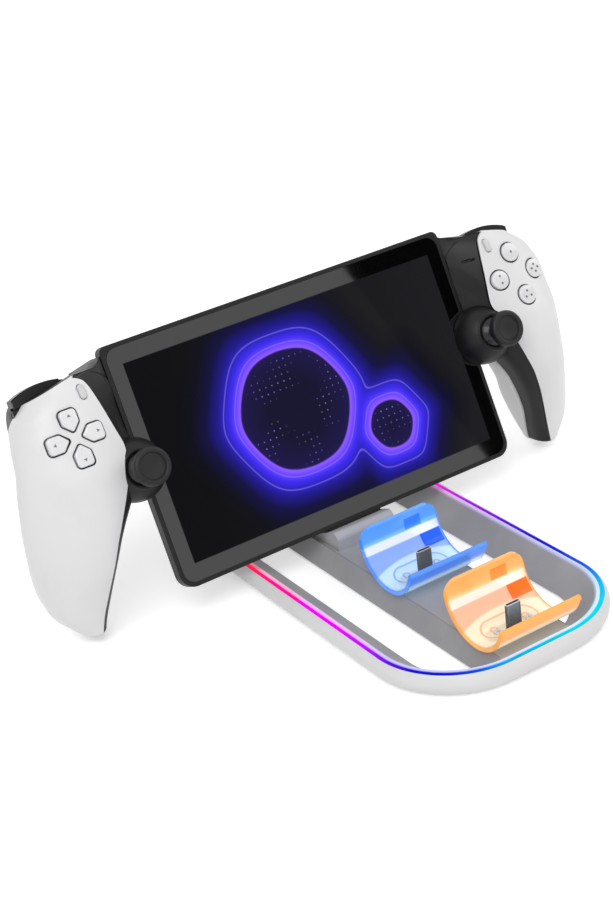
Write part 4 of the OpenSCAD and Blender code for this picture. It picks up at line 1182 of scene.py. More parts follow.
@dataclass(frozen=True)
class Table:
    """Smooth curve through pairs of position and value."""

    pairs: tuple[Point, ...]
    reach: float = 4.0
    step: float = 0.2
    spare: int = 60
    half: int = 6

    def raw(self, at: float) -> float:
        """Value on the straight lines between the pairs.

        Args:
            at: Position.

        Returns:
            The value, which stays level beyond the first and last pair.
        """
        if at <= self.pairs[0][0]:
            return self.pairs[0][1]
        for (x0, y0), (x1, y1) in zip(self.pairs, self.pairs[1:]):
            if at <= x1:
                return y0 + (y1 - y0) * (at - x0) / (x1 - x0)
        return self.pairs[-1][1]

    @cached_property
    def fine(self) -> list[float]:
        """Works out values at close steps, with the corners between the pairs rounded off.

        Returns:
            The values, the first of them at the start.
        """
        offsets = range(-self.half, self.half + 1)
        shares = [1 + math.cos(math.pi * i / (self.half + 1)) for i in offsets]
        pace = self.reach * 1.95 / (self.half + 1)
        count = int((self.pairs[-1][0] - self.pairs[0][0]) / self.step) + 2 * self.spare
        places = [self.start + k * self.step for k in range(count)]
        whole = sum(shares)
        return [
            sum(share * self.raw(place + i * pace) for i, share in zip(offsets, shares)) / whole
            for place in places
        ]

    @property
    def start(self) -> float:
        """Position of the first close step."""
        return self.pairs[0][0] - self.spare * self.step

    def at(self, at: float) -> float:
        """Smooth value at a position.

        Args:
            at: Position.

        Returns:
            The value.
        """
        place = max(0.0, min(len(self.fine) - 1.001, (at - self.start) / self.step))
        low = int(place)
        return self.fine[low] + (self.fine[low + 1] - self.fine[low]) * (place - low)


@dataclass(frozen=True)
class GripForm:
    """Sections of a grip at heights above the middle of the screen unit, in millimetres.

    The grip's frame has x outwards from the side of the glass, y up along it and z out of it. Each
    table gives one measure of the section by its height, but shoulder_rise, which goes by x.
    """

    width: float = 61.0
    fullness: float = 2.35
    wall: float = 2.0
    top: float = 53.5
    tip: float = -68.0
    tip_round: float = 2.2
    sweep_from: float = 26.0
    fall_from: float = 18.0
    fall_over: float = 32.0
    sweep_over: float = 30.0
    least_bulge: float = 8.0
    side_x: float = 2.25
    side_z: float = 0.3
    corner: float = 0.4
    edge_lap: float = 1.5
    shoulder_from: float = 2.0
    shoulder_over: float = 10.0
    rise_from: float = 42.0
    rise_over: float = 10.0
    outer_inset: Table = Table(
        ((-68, 13), (-58, 3.6), (-48, 1.3), (-36, 0.7), (-22, 0), (-8, 0), (6, 1), (20, 3.2),
         (34, 4.2), (46, 7), (51, 12), (53.5, 18)), 2.0)
    inner_side: Table = Table(
        ((-68, 35.5), (-58, 32.6), (-48, 30), (-36, 25.6), (-22, 19.6), (-8, 10), (6, 0.2),
         (54, 0.2)))
    front_crown: Table = Table(
        ((-68, -18.6), (-58, -12), (-48, -4), (-36, 5), (-22, 12.5), (-8, 16.8), (6, 17.8),
         (20, 15.2), (34, 13.9), (46, 12.2), (53.5, 9.5)), 3.0)
    wide_line: Table = Table(
        ((-68, -31), (-58, -22), (-48, -13.4), (-36, -7), (-22, -2), (-8, 0.8), (6, 1.8),
         (20, 0.7), (34, -1), (46, -5), (53.5, -7)))
    back_crown: Table = Table(
        ((-68, -37), (-58, -44), (-48, -46), (-36, -43), (-22, -34), (-8, -26), (6, -22.5),
         (20, -21), (53.5, -14)))
    panel_edge: Table = Table(
        ((-68, 41), (-58.5, 38.5), (-45.5, 34), (-25.5, 27), (-7, 18.5), (4, 13), (15.5, 10.7),
         (26.5, 12.8), (38.5, 15), (46, 16.7), (50, 18.4), (52, 20.6), (53.5, 24.5)), 2.0)
    back_sweep: Table = Table(
        ((-68, 0.13), (-58, 0.17), (-48, 0.27), (-36, 0.36), (-22, 0.4), (-8, 0.37), (6, 0.25),
         (20, 0.16), (34, 0.08), (53.5, 0.06)))
    section_fall: Table = Table(((10, 0), (20, 2), (40, 6), (53.5, 7.5)))
    back_rise: Table = Table(((-68, 0.38), (-58, 0.27), (-48, 0.2), (-36, 0.1), (-22, 0)))
    shoulder_rise: Table = Table(((2, 3.6), (5, 1.2), (8, -0.6), (12, -0.6)), 1.0)
    seam_angle: Table = Table(((12, 184), (26, 218), (42, 218), (50, 184)), 2.0)
    band_angle: Table = Table(((0, -9), (12, -80)), 1.0)

    def sweep(self, h: float, x: float) -> float:
        """How far the outer side sweeps back at a place."""
        return self.back_sweep.at(h) * max(0.0, x - self.sweep_from) ** 2 / self.sweep_over

    def point(self, h: float, angle: float, inset: float) -> Vector:
        """Point of a section, which narrows in a quarter round towards the tip.

        Args:
            h: Height of the section.
            angle: 0 faces the screen, 90 the player, 180 outwards, 270 the back.
            inset: Depth below the outer surface.

        Returns:
            The point in the grip's frame.
        """
        tip = 0.0
        start = self.tip + self.tip_round
        if h < start:
            part = min(1.0, (start - h) / self.tip_round)
            tip = self.tip_round * (1 - math.sqrt(max(0.0, 1 - part * part)))
        deep = inset + tip
        x0 = self.inner_side.at(h) + deep
        x1 = self.width - self.outer_inset.at(h) - deep
        front = self.front_crown.at(h)
        middle = min(self.wide_line.at(h), front - self.least_bulge)
        sine, cosine = math.sin(math.radians(angle)), math.cos(math.radians(angle))
        reach = front - deep - middle if sine > 0 else middle - self.back_crown.at(h) - deep
        power = 2 / self.fullness
        x = (x0 + x1) / 2 - (x1 - x0) / 2 * math.copysign(abs(cosine) ** power, cosine)
        z = middle + reach * math.copysign(abs(sine) ** power, sine) - self.sweep(h, x)
        fall = self.section_fall.at(h) * max(0.0, x - self.fall_from) / self.fall_over
        rise = self.back_rise.raw(h) * max(0.0, front - z)
        return Vector((x, h - fall + rise, z))

    def across(self, h: float, x: float) -> float:
        """Place across a section.

        Args:
            h: Height of the section.
            x: Distance from the side of the glass.

        Returns:
            Share from 0 in its middle to 1 at either side.
        """
        x0 = self.inner_side.at(h)
        x1 = self.width - self.outer_inset.at(h)
        return abs(2 * x - x0 - x1) / (x1 - x0)

    def edge_angle(self, h: float) -> float:
        """Angle of the front shell's inner edge on a section."""
        share = max(0.02, min(0.98, self.across(h, self.panel_edge.at(h))))
        return math.degrees(math.acos(share ** (self.fullness / 2)))

    def panel_z(self, x: float, y: float) -> float:
        """Height of the front surface at a place on the panel.

        Args:
            x: Distance from the side of the glass.
            y: Height above its middle.

        Returns:
            The height out of the glass.
        """
        middle = self.wide_line.at(y)
        share = (1 - self.across(y, x) ** self.fullness) ** (1 / self.fullness)
        return middle + (self.front_crown.at(y) - middle) * share - self.sweep(y, x)

    def shoulder(self, h: float, share: float, depth: float) -> Vector:
        """Point of the black shoulder between the screen unit and the panel's edge.

        Args:
            h: Height of the section.
            share: Share of the way from the back, round the front corner, to the panel's edge.
            depth: Depth below the outer surface at that edge.

        Returns:
            The point in the grip's frame.
        """
        edge = self.point(h, self.edge_angle(h) - self.edge_lap, depth)
        foot = self.back_crown.at(h) + 1
        if share < self.corner:
            x, z = self.side_x, foot + (self.side_z - foot) * share / self.corner
        else:
            part = (share - self.corner) / (1 - self.corner)
            x = self.side_x + (edge.x - self.side_x) * part
            z = self.side_z + (edge.z - self.side_z) * part
        held = max(0.0, min(1.0, (h - self.rise_from) / self.rise_over))
        return Vector((x, h + self.shoulder_rise.at(x) * held, z))


@dataclass(frozen=True)
class ShoulderRelief:
    """Shallow forms moulded in the black shoulder: a curved step, a slot and a fold."""

    step_middle: Point = (14.9, 37.7)
    step_radius: float = 14.4
    step_depth: float = 0.9
    step_edge: float = 0.7
    step_above: float = 40.0
    slot_middle: Point = (10.6, 40.2)
    slot_half: float = 1.9
    slot_radius: float = 0.65
    slot_depth: float = 1.1
    slot_edge: float = 0.3
    slot_slant: float = 0.1
    fold_from: Point = (6.0, 38.6)
    fold_to: Point = (13.6, 24.0)
    fold_slope: float = 0.16
    fold_depth: float = 0.9
    fold_low: Point = (16.0, 24.0)
    fold_high: Point = (41.0, 36.0)

    def depth(self, x: float, y: float, slotted: bool) -> float:
        """Depth of the relief at a place.

        Args:
            x: Distance from the side of the glass.
            y: Height above its middle.
            slotted: Whether this side has the slot.

        Returns:
            Millimetres below the plain shoulder.
        """
        out = math.hypot(x - self.step_middle[0], y - self.step_middle[1]) - self.step_radius
        total = 0.0
        if y > self.step_above:
            total += self.step_depth * self.ease((out + 0.2) / self.step_edge)
        dx, dy = self.fold_to[0] - self.fold_from[0], self.fold_to[1] - self.fold_from[1]
        across = (x - self.fold_from[0]) * dy - (y - self.fold_from[1]) * dx
        beside = across / math.hypot(dx, dy)
        fade = 1.0
        for none, full in (self.fold_low, self.fold_high):
            fade *= self.ease((y - none) / (full - none))
        total += fade * min(self.fold_depth, self.fold_slope * max(0.0, beside))
        if slotted:
            side = max(0.0, abs(x - self.slot_middle[0]) - self.slot_half)
            lift = y - self.slot_middle[1] + self.slot_slant * (x - self.slot_middle[0])
            inside = self.slot_radius - math.hypot(side, lift)
            total += self.slot_depth * self.ease(inside / self.slot_edge)
        return total

    @staticmethod
    def ease(share: float) -> float:
        """Smooth rise from 0 to 1."""
        held = max(0.0, min(1.0, share))
        return held * held * (3 - 2 * held)


@dataclass(frozen=True)
class PodForm:
    """Round form of a stick's pod, in the grip's frame: a short wall and a quarter sphere."""

    place: Point = (6.8, 2.0)
    radius: float = 15.4
    middle: float = 3.2
    foot: float = 0.1

    def cutter(self, grow: float) -> bmesh.types.BMesh:
        """Makes the form, grown by a clearance.

        Args:
            grow: The clearance.

        Returns:
            Closed mesh in the grip's frame.
        """
        radius, foot = self.radius + grow, self.foot - grow
        bulb = arc(radius, 0, 90, 24, (0, self.middle))[:-1]
        mesh = lathe([(0, foot), (radius, foot), *bulb, (0, self.middle + radius)])
        bmesh.ops.translate(mesh, vec=(*self.place, 0), verts=mesh.verts)
        return mesh


GRIP = GripForm()
RELIEF = ShoulderRelief()
POD = PodForm()


@dataclass(frozen=True)
class Grip:
    """One grip: white front and rear shells over a black core."""

    side: Side
    form: GripForm = GRIP
    rows: int = 190
    columns: int = 64
    core_columns: int = 130
    top_rows: float = 0.42
    top_reach: float = 30.0
    seam: float = 0.3
    core_inset: float = 0.8
    core_wall: float = 2.5
    band: float = 0.42
    bay_x: Point = (15.4, 49.6)
    bay_low: float = 20.0
    bay_high: float = 75.0
    bay_back: float = -75.0
    front_bay: float = -5.75
    core_bay: float = -4.5
    front_clear: float = 0.35
    core_clear: float = 0.1
    rear_from: float = 17.0
    screen_box: tuple[float, float, float, float] = (-20.0, 80.0, -60.0, 20.0)

    def build(self) -> None:
        """Builds the three shells of this side."""
        self.front()
        self.rear()
        self.core()

    def height(self, share: float, start: float) -> float:
        """Height of a row, the rows lying closer together near the top.

        Args:
            share: Place of the row from 0 at the start to 1 at the tip.
            start: Height of the first row.

        Returns:
            The height.
        """
        knee = max(self.form.tip, self.form.top - self.top_reach)
        if start <= knee:
            return start + (self.form.tip - start) * share
        if share < self.top_rows:
            return start + (knee - start) * share / self.top_rows
        return knee + (self.form.tip - knee) * (share - self.top_rows) / (1 - self.top_rows)

    def shell(
        self, first: Callable[[float], float], last: Callable[[float], float], start: float
    ) -> bmesh.types.BMesh:
        """Outer skin between two angles, with its wall inwards.

        Args:
            first: Angle of the first edge at a height.
            last: Angle of the last edge at a height.
            start: Height of the top row.

        Returns:
            Closed mesh in the grip's frame.
        """
        mesh = bmesh.new()
        bmesh.ops.create_grid(mesh, x_segments=self.columns, y_segments=self.rows, size=0.5)
        outer = list(mesh.verts)
        copied = bmesh.ops.duplicate(mesh, geom=mesh.verts[:] + mesh.edges[:] + mesh.faces[:])
        inner = copied["vert_map"]
        for vertex in outer:
            h = self.height(vertex.co.y + 0.5, start)
            angle = first(h) + (last(h) - first(h)) * (vertex.co.x + 0.5)
            vertex.co = self.form.point(h, angle, 0.0)
            inner[vertex].co = self.form.point(h, angle, self.form.wall)
        bmesh.ops.bridge_loops(mesh, edges=[e for e in mesh.edges if e.is_boundary])
        bmesh.ops.recalc_face_normals(mesh, faces=mesh.faces)
        return mesh

    def place(
        self, part: str, slot: str, finish: Moulded, mesh: bmesh.types.BMesh,
        cutters: Sequence[bmesh.types.BMesh],
    ) -> None:
        """Stands a shell in for its CAD node and cuts its openings.

        Args:
            part: Last word of the node's name.
            slot: Material slot.
            finish: Finish of the shell.
            mesh: The shell in the grip's frame.
            cutters: What is cut out of it, in the same frame.
        """
        name = f"{self.side.prefix}_grip_{part}"
        maker = Piece(f"{name}_skin", "console", slot, LIBRARY.get(finish), (name,))
        matrix = CONSOLE.side(self.side.value)
        piece = maker.make(mesh, matrix)
        carve(piece, cutters, matrix)
        maker.finish(piece)

    def front(self) -> None:
        """Builds the white front shell with its key and stick openings."""
        form = self.form
        mesh = self.shell(form.edge_angle, lambda h: form.seam_angle.at(h) - self.seam, form.top)
        cutters = [POD.cutter(self.front_clear), self.bay(self.front_bay)]
        cutters += KeyCluster(self.side).cutters()
        self.place("front", "grip_white", Moulded.GRIP_WHITE, mesh, cutters)

    def rear(self) -> None:
        """Builds the white rear shell, cut off beside the screen unit."""
        form = self.form
        mesh = self.shell(
            lambda h: form.seam_angle.at(h) + self.seam,
            lambda h: 360 + form.band_angle.raw(h),
            self.rear_from,
        )
        x, y, low, high = self.screen_box
        beside = [(x, -y), (form.side_x, -y), (form.side_x, y), (x, y)]
        self.place("rear", "grip_white", Moulded.GRIP_WHITE, mesh, [prism(low, high, beside)])

    def bay(self, front: float) -> bmesh.types.BMesh:
        """Room that the trigger and the bumper take, behind a given depth."""
        (x0, x1), low, high = self.bay_x, self.bay_low, self.bay_high
        return prism(self.bay_back, front, [(x0, low), (x1, low), (x1, high), (x0, high)])

    def core(self) -> None:
        """Builds the black core with the band, the shoulder and the trigger's bay."""
        mesh = surface(self.core_columns, self.rows, self.core_point, closed=True)
        rims = [e for e in mesh.edges if e.is_boundary]
        bmesh.ops.holes_fill(mesh, edges=rims, sides=0)
        bmesh.ops.recalc_face_normals(mesh, faces=mesh.faces)
        pocket = KeyCluster(self.side).pocket()
        cutters = [POD.cutter(self.core_clear), self.bay(self.core_bay), pocket]
        self.place("core", "black_plastic", Moulded.SHELL_BLACK, mesh, cutters)

    def core_point(self, u: float, v: float) -> Vector:
        """Point of the core, which is flush at the band and hidden under the white shells.

        Args:
            u: Share of the way round, the band first.
            v: Share of the way from the top to the tip.

        Returns:
            The point in the grip's frame.
        """
        form = self.form
        if u > 1 - 1e-6:
            return self.core_point(0.0, v)
        h = self.height(v, form.top)
        front = form.edge_angle(h) - form.edge_lap
        rear = form.band_angle.raw(h) + form.edge_lap
        if u >= self.band:
            hidden = 1 - self.band - 1 / self.core_columns
            share = min(1.0, (u - self.band) / hidden)
            return form.point(h, front + (rear + 360 - front) * share, self.core_wall)
        share = u / self.band
        plain = form.point(h, rear + (front - rear) * share, self.core_inset)
        blend = max(0.0, min(1.0, (h - form.shoulder_from) / form.shoulder_over))
        if blend <= 0:
            return plain
        moulded = form.shoulder(h, share, self.core_inset)
        if share > form.corner:
            moulded.z -= RELIEF.depth(moulded.x, moulded.y, self.side is Side.RIGHT)
        return plain.lerp(moulded, blend)


# ---------------------------------------------------------------- keys


@dataclass(frozen=True)
class KeyCluster:
    """Four keys and a pill key on one grip's panel, in millimetres."""

    side: Side
    x: float = 32.0
    y: float = 25.5
    tilt: float = 4.5
    gap: float = 0.35
    key_low: float = -6.0
    key_high: float = 1.4
    key_round: float = 0.9
    action_pitch: float = 11.8
    action_r: float = 4.9
    arrow_pitch: float = 8.5
    arrow_w: float = 8.2
    arrow_l: float = 10.2
    arrow_corner: float = 1.9
    arrow_tip: float = 0.9
    arrow_nose: float = 0.36
    pill: Point = (-11.0, 19.0)
    pill_w: float = 3.2
    pill_l: float = 7.0
    pill_round: float = 0.8
    ring_w: float = 0.38
    ring_lap: float = 0.02
    ring_low: float = -1.6
    ring_high: Point = (0.1, 0.06)
    mark_low: float = 1.3
    mark_high: float = 1.46
    pip_r: float = 0.62
    pip_pitch: float = 1.9
    triangle: tuple[Point, ...] = ((-0.9, 1.6), (0.9, 1.6), (0.0, 3.0))
    hole: Point = (-8.0, 12.0)
    pocket_r: float = 18.3
    pocket_span: Point = (-11.6, 20.0)

    @property
    def grip(self) -> Matrix:
        """Carries the grip's millimetres to the row frame."""
        return CONSOLE.side(self.side.value)

    def seat(self, spot: Point = (0.0, 0.0), lift: float = 0.0, turn: float = 0.0) -> Matrix:
        """Carries a key's millimetres, looking out of the panel, to the grip's frame.

        Args:
            spot: Middle of the key in the cluster.
            lift: Height of the panel there.
            turn: Turn of the key in radians.

        Returns:
            The matrix.
        """
        middle = (self.x, self.y, GRIP.panel_z(self.x, self.y))
        return (
            Matrix.Translation(middle)
            @ Matrix.Rotation(-math.radians(self.tilt), 4, "X")
            @ Matrix.Translation((*spot, lift))
            @ Matrix.Rotation(turn, 4, "Z")
        )

    def lift(self, x: float, y: float) -> float:
        """Height of the panel at a place, from the cluster's plane.

        Args:
            x: Place across, from the cluster's middle.
            y: Place up, from the cluster's middle.

        Returns:
            The height.
        """
        tilt = math.radians(self.tilt)
        rise = GRIP.panel_z(self.x + x, self.y + y) - GRIP.panel_z(self.x, self.y)
        return rise * math.cos(tilt) + y * math.sin(tilt)

    def spots(self) -> list[tuple[str, Point, float]]:
        """Lays out the cross, which the mirrored left grip runs round the other way.

        Returns:
            Name, place and turn of each key.
        """
        kind, names, pitch = "dpad", ("up", "right", "down", "left"), self.arrow_pitch
        if self.side is Side.RIGHT:
            kind, names, pitch = "action", ("top", "left", "bottom", "right"), self.action_pitch
        turns = [math.radians(90 * index) for index in range(len(names))]
        return [
            (f"{kind}_{name}", (-pitch * math.sin(turn), pitch * math.cos(turn)), turn)
            for name, turn in zip(names, turns)
        ]

    def outline(self, grow: float) -> list[Point]:
        """Outline of one key of the cross: round on the right, with its point down on the left.

        Args:
            grow: How far outside the key the outline lies.

        Returns:
            Its corners in order.
        """
        if self.side is Side.RIGHT:
            return circle(self.action_r + grow, 64)
        wide, long = self.arrow_w / 2 + grow, self.arrow_l / 2 + grow
        corner, tip = self.arrow_corner + grow, self.arrow_tip + grow
        nose = -long + 2 * long * self.arrow_nose + corner * 0.4
        corners = (
            (corner, 0, 90, (wide - corner, long - corner)),
            (corner, 90, 180, (corner - wide, long - corner)),
            (corner, 180, 232, (corner - wide, nose)),
            (tip, 232, 308, (0.0, tip - long)),
            (corner, 308, 360, (wide - corner, nose)),
        )
        return [
            point
            for radius, start, end, at in corners
            for point in arc(radius, start, end, 8, at)
        ]

    def pill_outline(self, grow: float) -> list[Point]:
        """Outline of the upright pill key.

        Args:
            grow: How far outside the key the outline lies.

        Returns:
            Its corners in order.
        """
        radius, straight = self.pill_w / 2 + grow, (self.pill_l - self.pill_w) / 2
        upper = arc(radius, 0, 180, 16, (0.0, straight))
        return [*upper, *arc(radius, 180, 360, 16, (0.0, -straight))]

    def cutters(self) -> list[bmesh.types.BMesh]:
        """Makes the holes for the keys.

        Returns:
            Closed meshes in the grip's frame.
        """
        holes = [(self.outline(self.gap), spot, turn) for _name, spot, turn in self.spots()]
        holes.append((self.pill_outline(self.gap), self.pill, 0.0))
        made = []
        for outline, spot, turn in holes:
            mesh = prism(*self.hole, outline)
            mesh.transform(self.seat(spot, 0.0, turn))
            made.append(mesh)
        return made

    def pocket(self) -> bmesh.types.BMesh:
        """Makes the room under the keys.

        Returns:
            Closed mesh in the grip's frame.
        """
        mesh = prism(*self.pocket_span, circle(self.pocket_r, 72))
        mesh.transform(self.seat())
        return mesh

    def build(self) -> None:
        """Builds the keys with their rings and marks, and the pill key."""
        right = self.side is Side.RIGHT
        slot = "key_clear" if right else "key_white"
        for index, (name, spot, turn) in enumerate(self.spots()):
            seat = self.seat(spot, self.lift(*spot), turn)
            self.key(name, slot, Moulded.KEY, self.outline(0.0), self.key_round, seat)
            self.ring(name, spot, turn)
            self.mark(name, slot, index + 1, spot, turn)
        name = "options_button" if right else "create_button"
        seat = self.seat(self.pill, self.lift(*self.pill))
        self.key(name, "key_clear", Moulded.PILL, self.pill_outline(0.0), self.pill_round, seat)

    def key(
        self, name: str, slot: str, finish: Moulded, outline: Sequence[Point], rounding: float,
        seat: Matrix,
    ) -> None:
        """Builds one key with a rounded face.

        Args:
            name: Name of the key's node and body.
            slot: Material slot.
            finish: Finish of the key.
            outline: Corners in order.
            rounding: Width of the rounding round its face.
            seat: Carries the key to the grip's frame.
        """
        mesh = prism(self.key_low, self.key_high, outline)
        round_rim(mesh, self.key_high, rounding)
        maker = Piece(f"{name}_key", name, slot, LIBRARY.get(finish), (name,), 50)
        maker.finish(maker.make(mesh, self.grip @ seat))

    def ring(self, name: str, spot: Point, turn: float) -> None:
        """Builds the thin dark metal ring round a key's hole, whose darkness is painted shade of
        the gap round the key.

        Args:
            name: Name of the key.
            spot: Middle of the key.
            turn: Turn of the key in radians.
        """
        inner, outer = self.outline(self.gap - self.ring_lap), self.outline(self.gap + self.ring_w)
        cosine, sine = math.cos(turn), math.sin(turn)
        low, (inside, outside) = self.ring_low, self.ring_high
        mesh = bmesh.new()
        loops = []
        for outline, above in ((inner, low), (inner, inside), (outer, outside), (outer, low)):
            places = [
                (spot[0] + x * cosine - y * sine, spot[1] + x * sine + y * cosine)
                for x, y in outline
            ]
            verts = [mesh.verts.new((x, y, self.lift(x, y) + above)) for x, y in places]
            loops.append([mesh.edges.new(pair) for pair in zip(verts, verts[1:] + verts[:1])])
        for first, second in zip(loops, loops[1:] + loops[:1]):
            bmesh.ops.bridge_loops(mesh, edges=first + second)
        bmesh.ops.recalc_face_normals(mesh, faces=mesh.faces)
        # The ring's dark metal is painted shade of the gap round the key.
        maker = Piece(f"{name}_ring", "console", "steel", LIBRARY.get(Moulded.RING_METAL), (), 40)
        maker.finish(maker.make(mesh, self.grip @ self.seat()))

    def mark(self, name: str, slot: str, count: int, spot: Point, turn: float) -> None:
        """Builds the mark of a key: a triangle on a direction key, pips on an action key.

        Args:
            name: Name of the key.
            slot: Material slot.
            count: Number of pips, which lie upright on every key.
            spot: Middle of the key.
            turn: Turn of the key in radians.
        """
        outlines: list[Sequence[Point]] = [self.triangle]
        if self.side is Side.RIGHT:
            turn, pitch = 0.0, self.pip_pitch if count > 1 else 0.0
            angles = [2 * math.pi * k / count for k in range(count)]
            outlines = [
                circle(self.pip_r, 20, (pitch * math.sin(a), pitch * math.cos(a))) for a in angles
            ]
        mesh = prism(self.mark_low, self.mark_high, *outlines)
        maker = Piece(f"{name}_mark", name, slot, LIBRARY.get(Moulded.MARK))
        maker.finish(maker.make(mesh, self.grip @ self.seat(spot, self.lift(*spot), turn)))


# ---------------------------------------------------------------- sticks


@dataclass(frozen=True)
class Stick:
    """Pod and thumb cap of one stick, in millimetres from the pod's foot."""

    side: Side
    form: PodForm = POD
    pivot_h: float = 8.6
    floor: float = 1.5
    rim: float = 15.6
    socket_r: float = 10.2
    lip: float = 0.7
    foot_bevel: float = 0.4
    cap_r: float = 9.2
    cap_top: float = 19.9
    bore_r: float = 3.05
    bore_top: float = 16.6
    hub: float = 10.9
    ribs: int = 60
    rib_depth: float = 0.16

    def build(self) -> None:
        """Builds the pod and the cap."""
        prefix = self.side.prefix
        self.turned(f"{prefix}_stick_base", "console", Moulded.SHELL_BLACK, self.pod(), 0.0)
        self.turned(
            f"{prefix}_stick_cap", f"{prefix}_thumb", Moulded.RUBBER, self.cap(), self.pivot_h)

    def turned(
        self, name: str, body: str, finish: Moulded, mesh: bmesh.types.BMesh, height: float
    ) -> None:
        """Stands a turned shape in for its CAD node.

        Args:
            name: Name of the node.
            body: Body that it rides on.
            finish: Its finish.
            mesh: The shape round the stick's axis.
            height: Height of the shape's origin over the grip's.
        """
        maker = Piece(f"{name}_skin", body, node_slot(name), LIBRARY.get(finish), (name,))
        place = Matrix.Translation((*self.form.place, height))
        maker.finish(maker.make(mesh, CONSOLE.side(self.side.value) @ place))

    def pod(self) -> bmesh.types.BMesh:
        """Makes the bulb with a rounded lip round its socket.

        Returns:
            The mesh, with its foot at the grip's origin.
        """
        radius, middle, foot = self.form.radius, self.form.middle, self.form.foot
        shoulder, bevel = self.rim - self.lip, self.foot_bevel
        over_middle, over_pivot = shoulder - middle, shoulder - self.pivot_h
        outside = math.sqrt(radius**2 - over_middle**2)
        inside = math.sqrt(self.socket_r**2 - over_pivot**2)
        stop = math.degrees(math.asin(over_middle / radius))
        high = math.degrees(math.asin(over_pivot / self.socket_r))
        low = math.degrees(math.asin((self.floor - self.pivot_h) / self.socket_r))
        crown = ((outside - inside) / 2, self.lip)
        return lathe([
            (0, foot), (radius - bevel, foot), (radius, foot + bevel),
            *arc(radius, 0, stop, 22, (0, middle)),
            *arc(crown, 0, 180, 10, ((outside + inside) / 2, shoulder))[1:-1],
            *arc(self.socket_r, high, low, 16, (0, self.pivot_h)),
            (0, self.floor),
        ], 128)

    def cap(self) -> bmesh.types.BMesh:
        """Makes the thumb cap: ribbed side, raised rim, groove and hollow face.

        Returns:
            The mesh, with the stick's pivot at its origin.
        """
        r, top = self.cap_r, self.cap_top
        mesh = lathe([
            (0, self.bore_top), (self.bore_r, self.bore_top), (self.bore_r, self.hub),
            (4.7, self.hub), (5.0, self.hub + 0.3), (5.2, top - 6.7), (5.9, top - 5.9),
            (7.4, top - 5.3), (8.5, top - 4.7), (r - 0.15, top - 4.1), (r, top - 3.5),
            (r, top - 2.9), (r, top - 2.3), (r, top - 1.7), (r - 0.12, top - 1.1),
            (r - 0.45, top - 0.5), (r - 1.0, top - 0.12), (r - 1.6, top), (r - 2.2, top - 0.08),
            (r - 2.6, top - 0.35), (r - 2.85, top - 0.8), (r - 3.0, top - 1.05),
            (r - 3.3, top - 1.0), (r - 3.6, top - 0.95), (r - 4.2, top - 1.05),
            (3.6, top - 1.35), (1.8, top - 1.55), (0, top - 1.6),
        ], 240)
        for vertex in mesh.verts:
            far = math.hypot(vertex.co.x, vertex.co.y)
            if far > r - 0.05 and top - 3.0 < vertex.co.z < top - 1.6:
                turn = math.atan2(vertex.co.y, vertex.co.x)
                sink = self.rib_depth * (0.5 + 0.5 * math.cos(self.ribs * turn)) / far
                vertex.co.x *= 1 - sink
                vertex.co.y *= 1 - sink
        return mesh


# ---------------------------------------------------------------- dressing


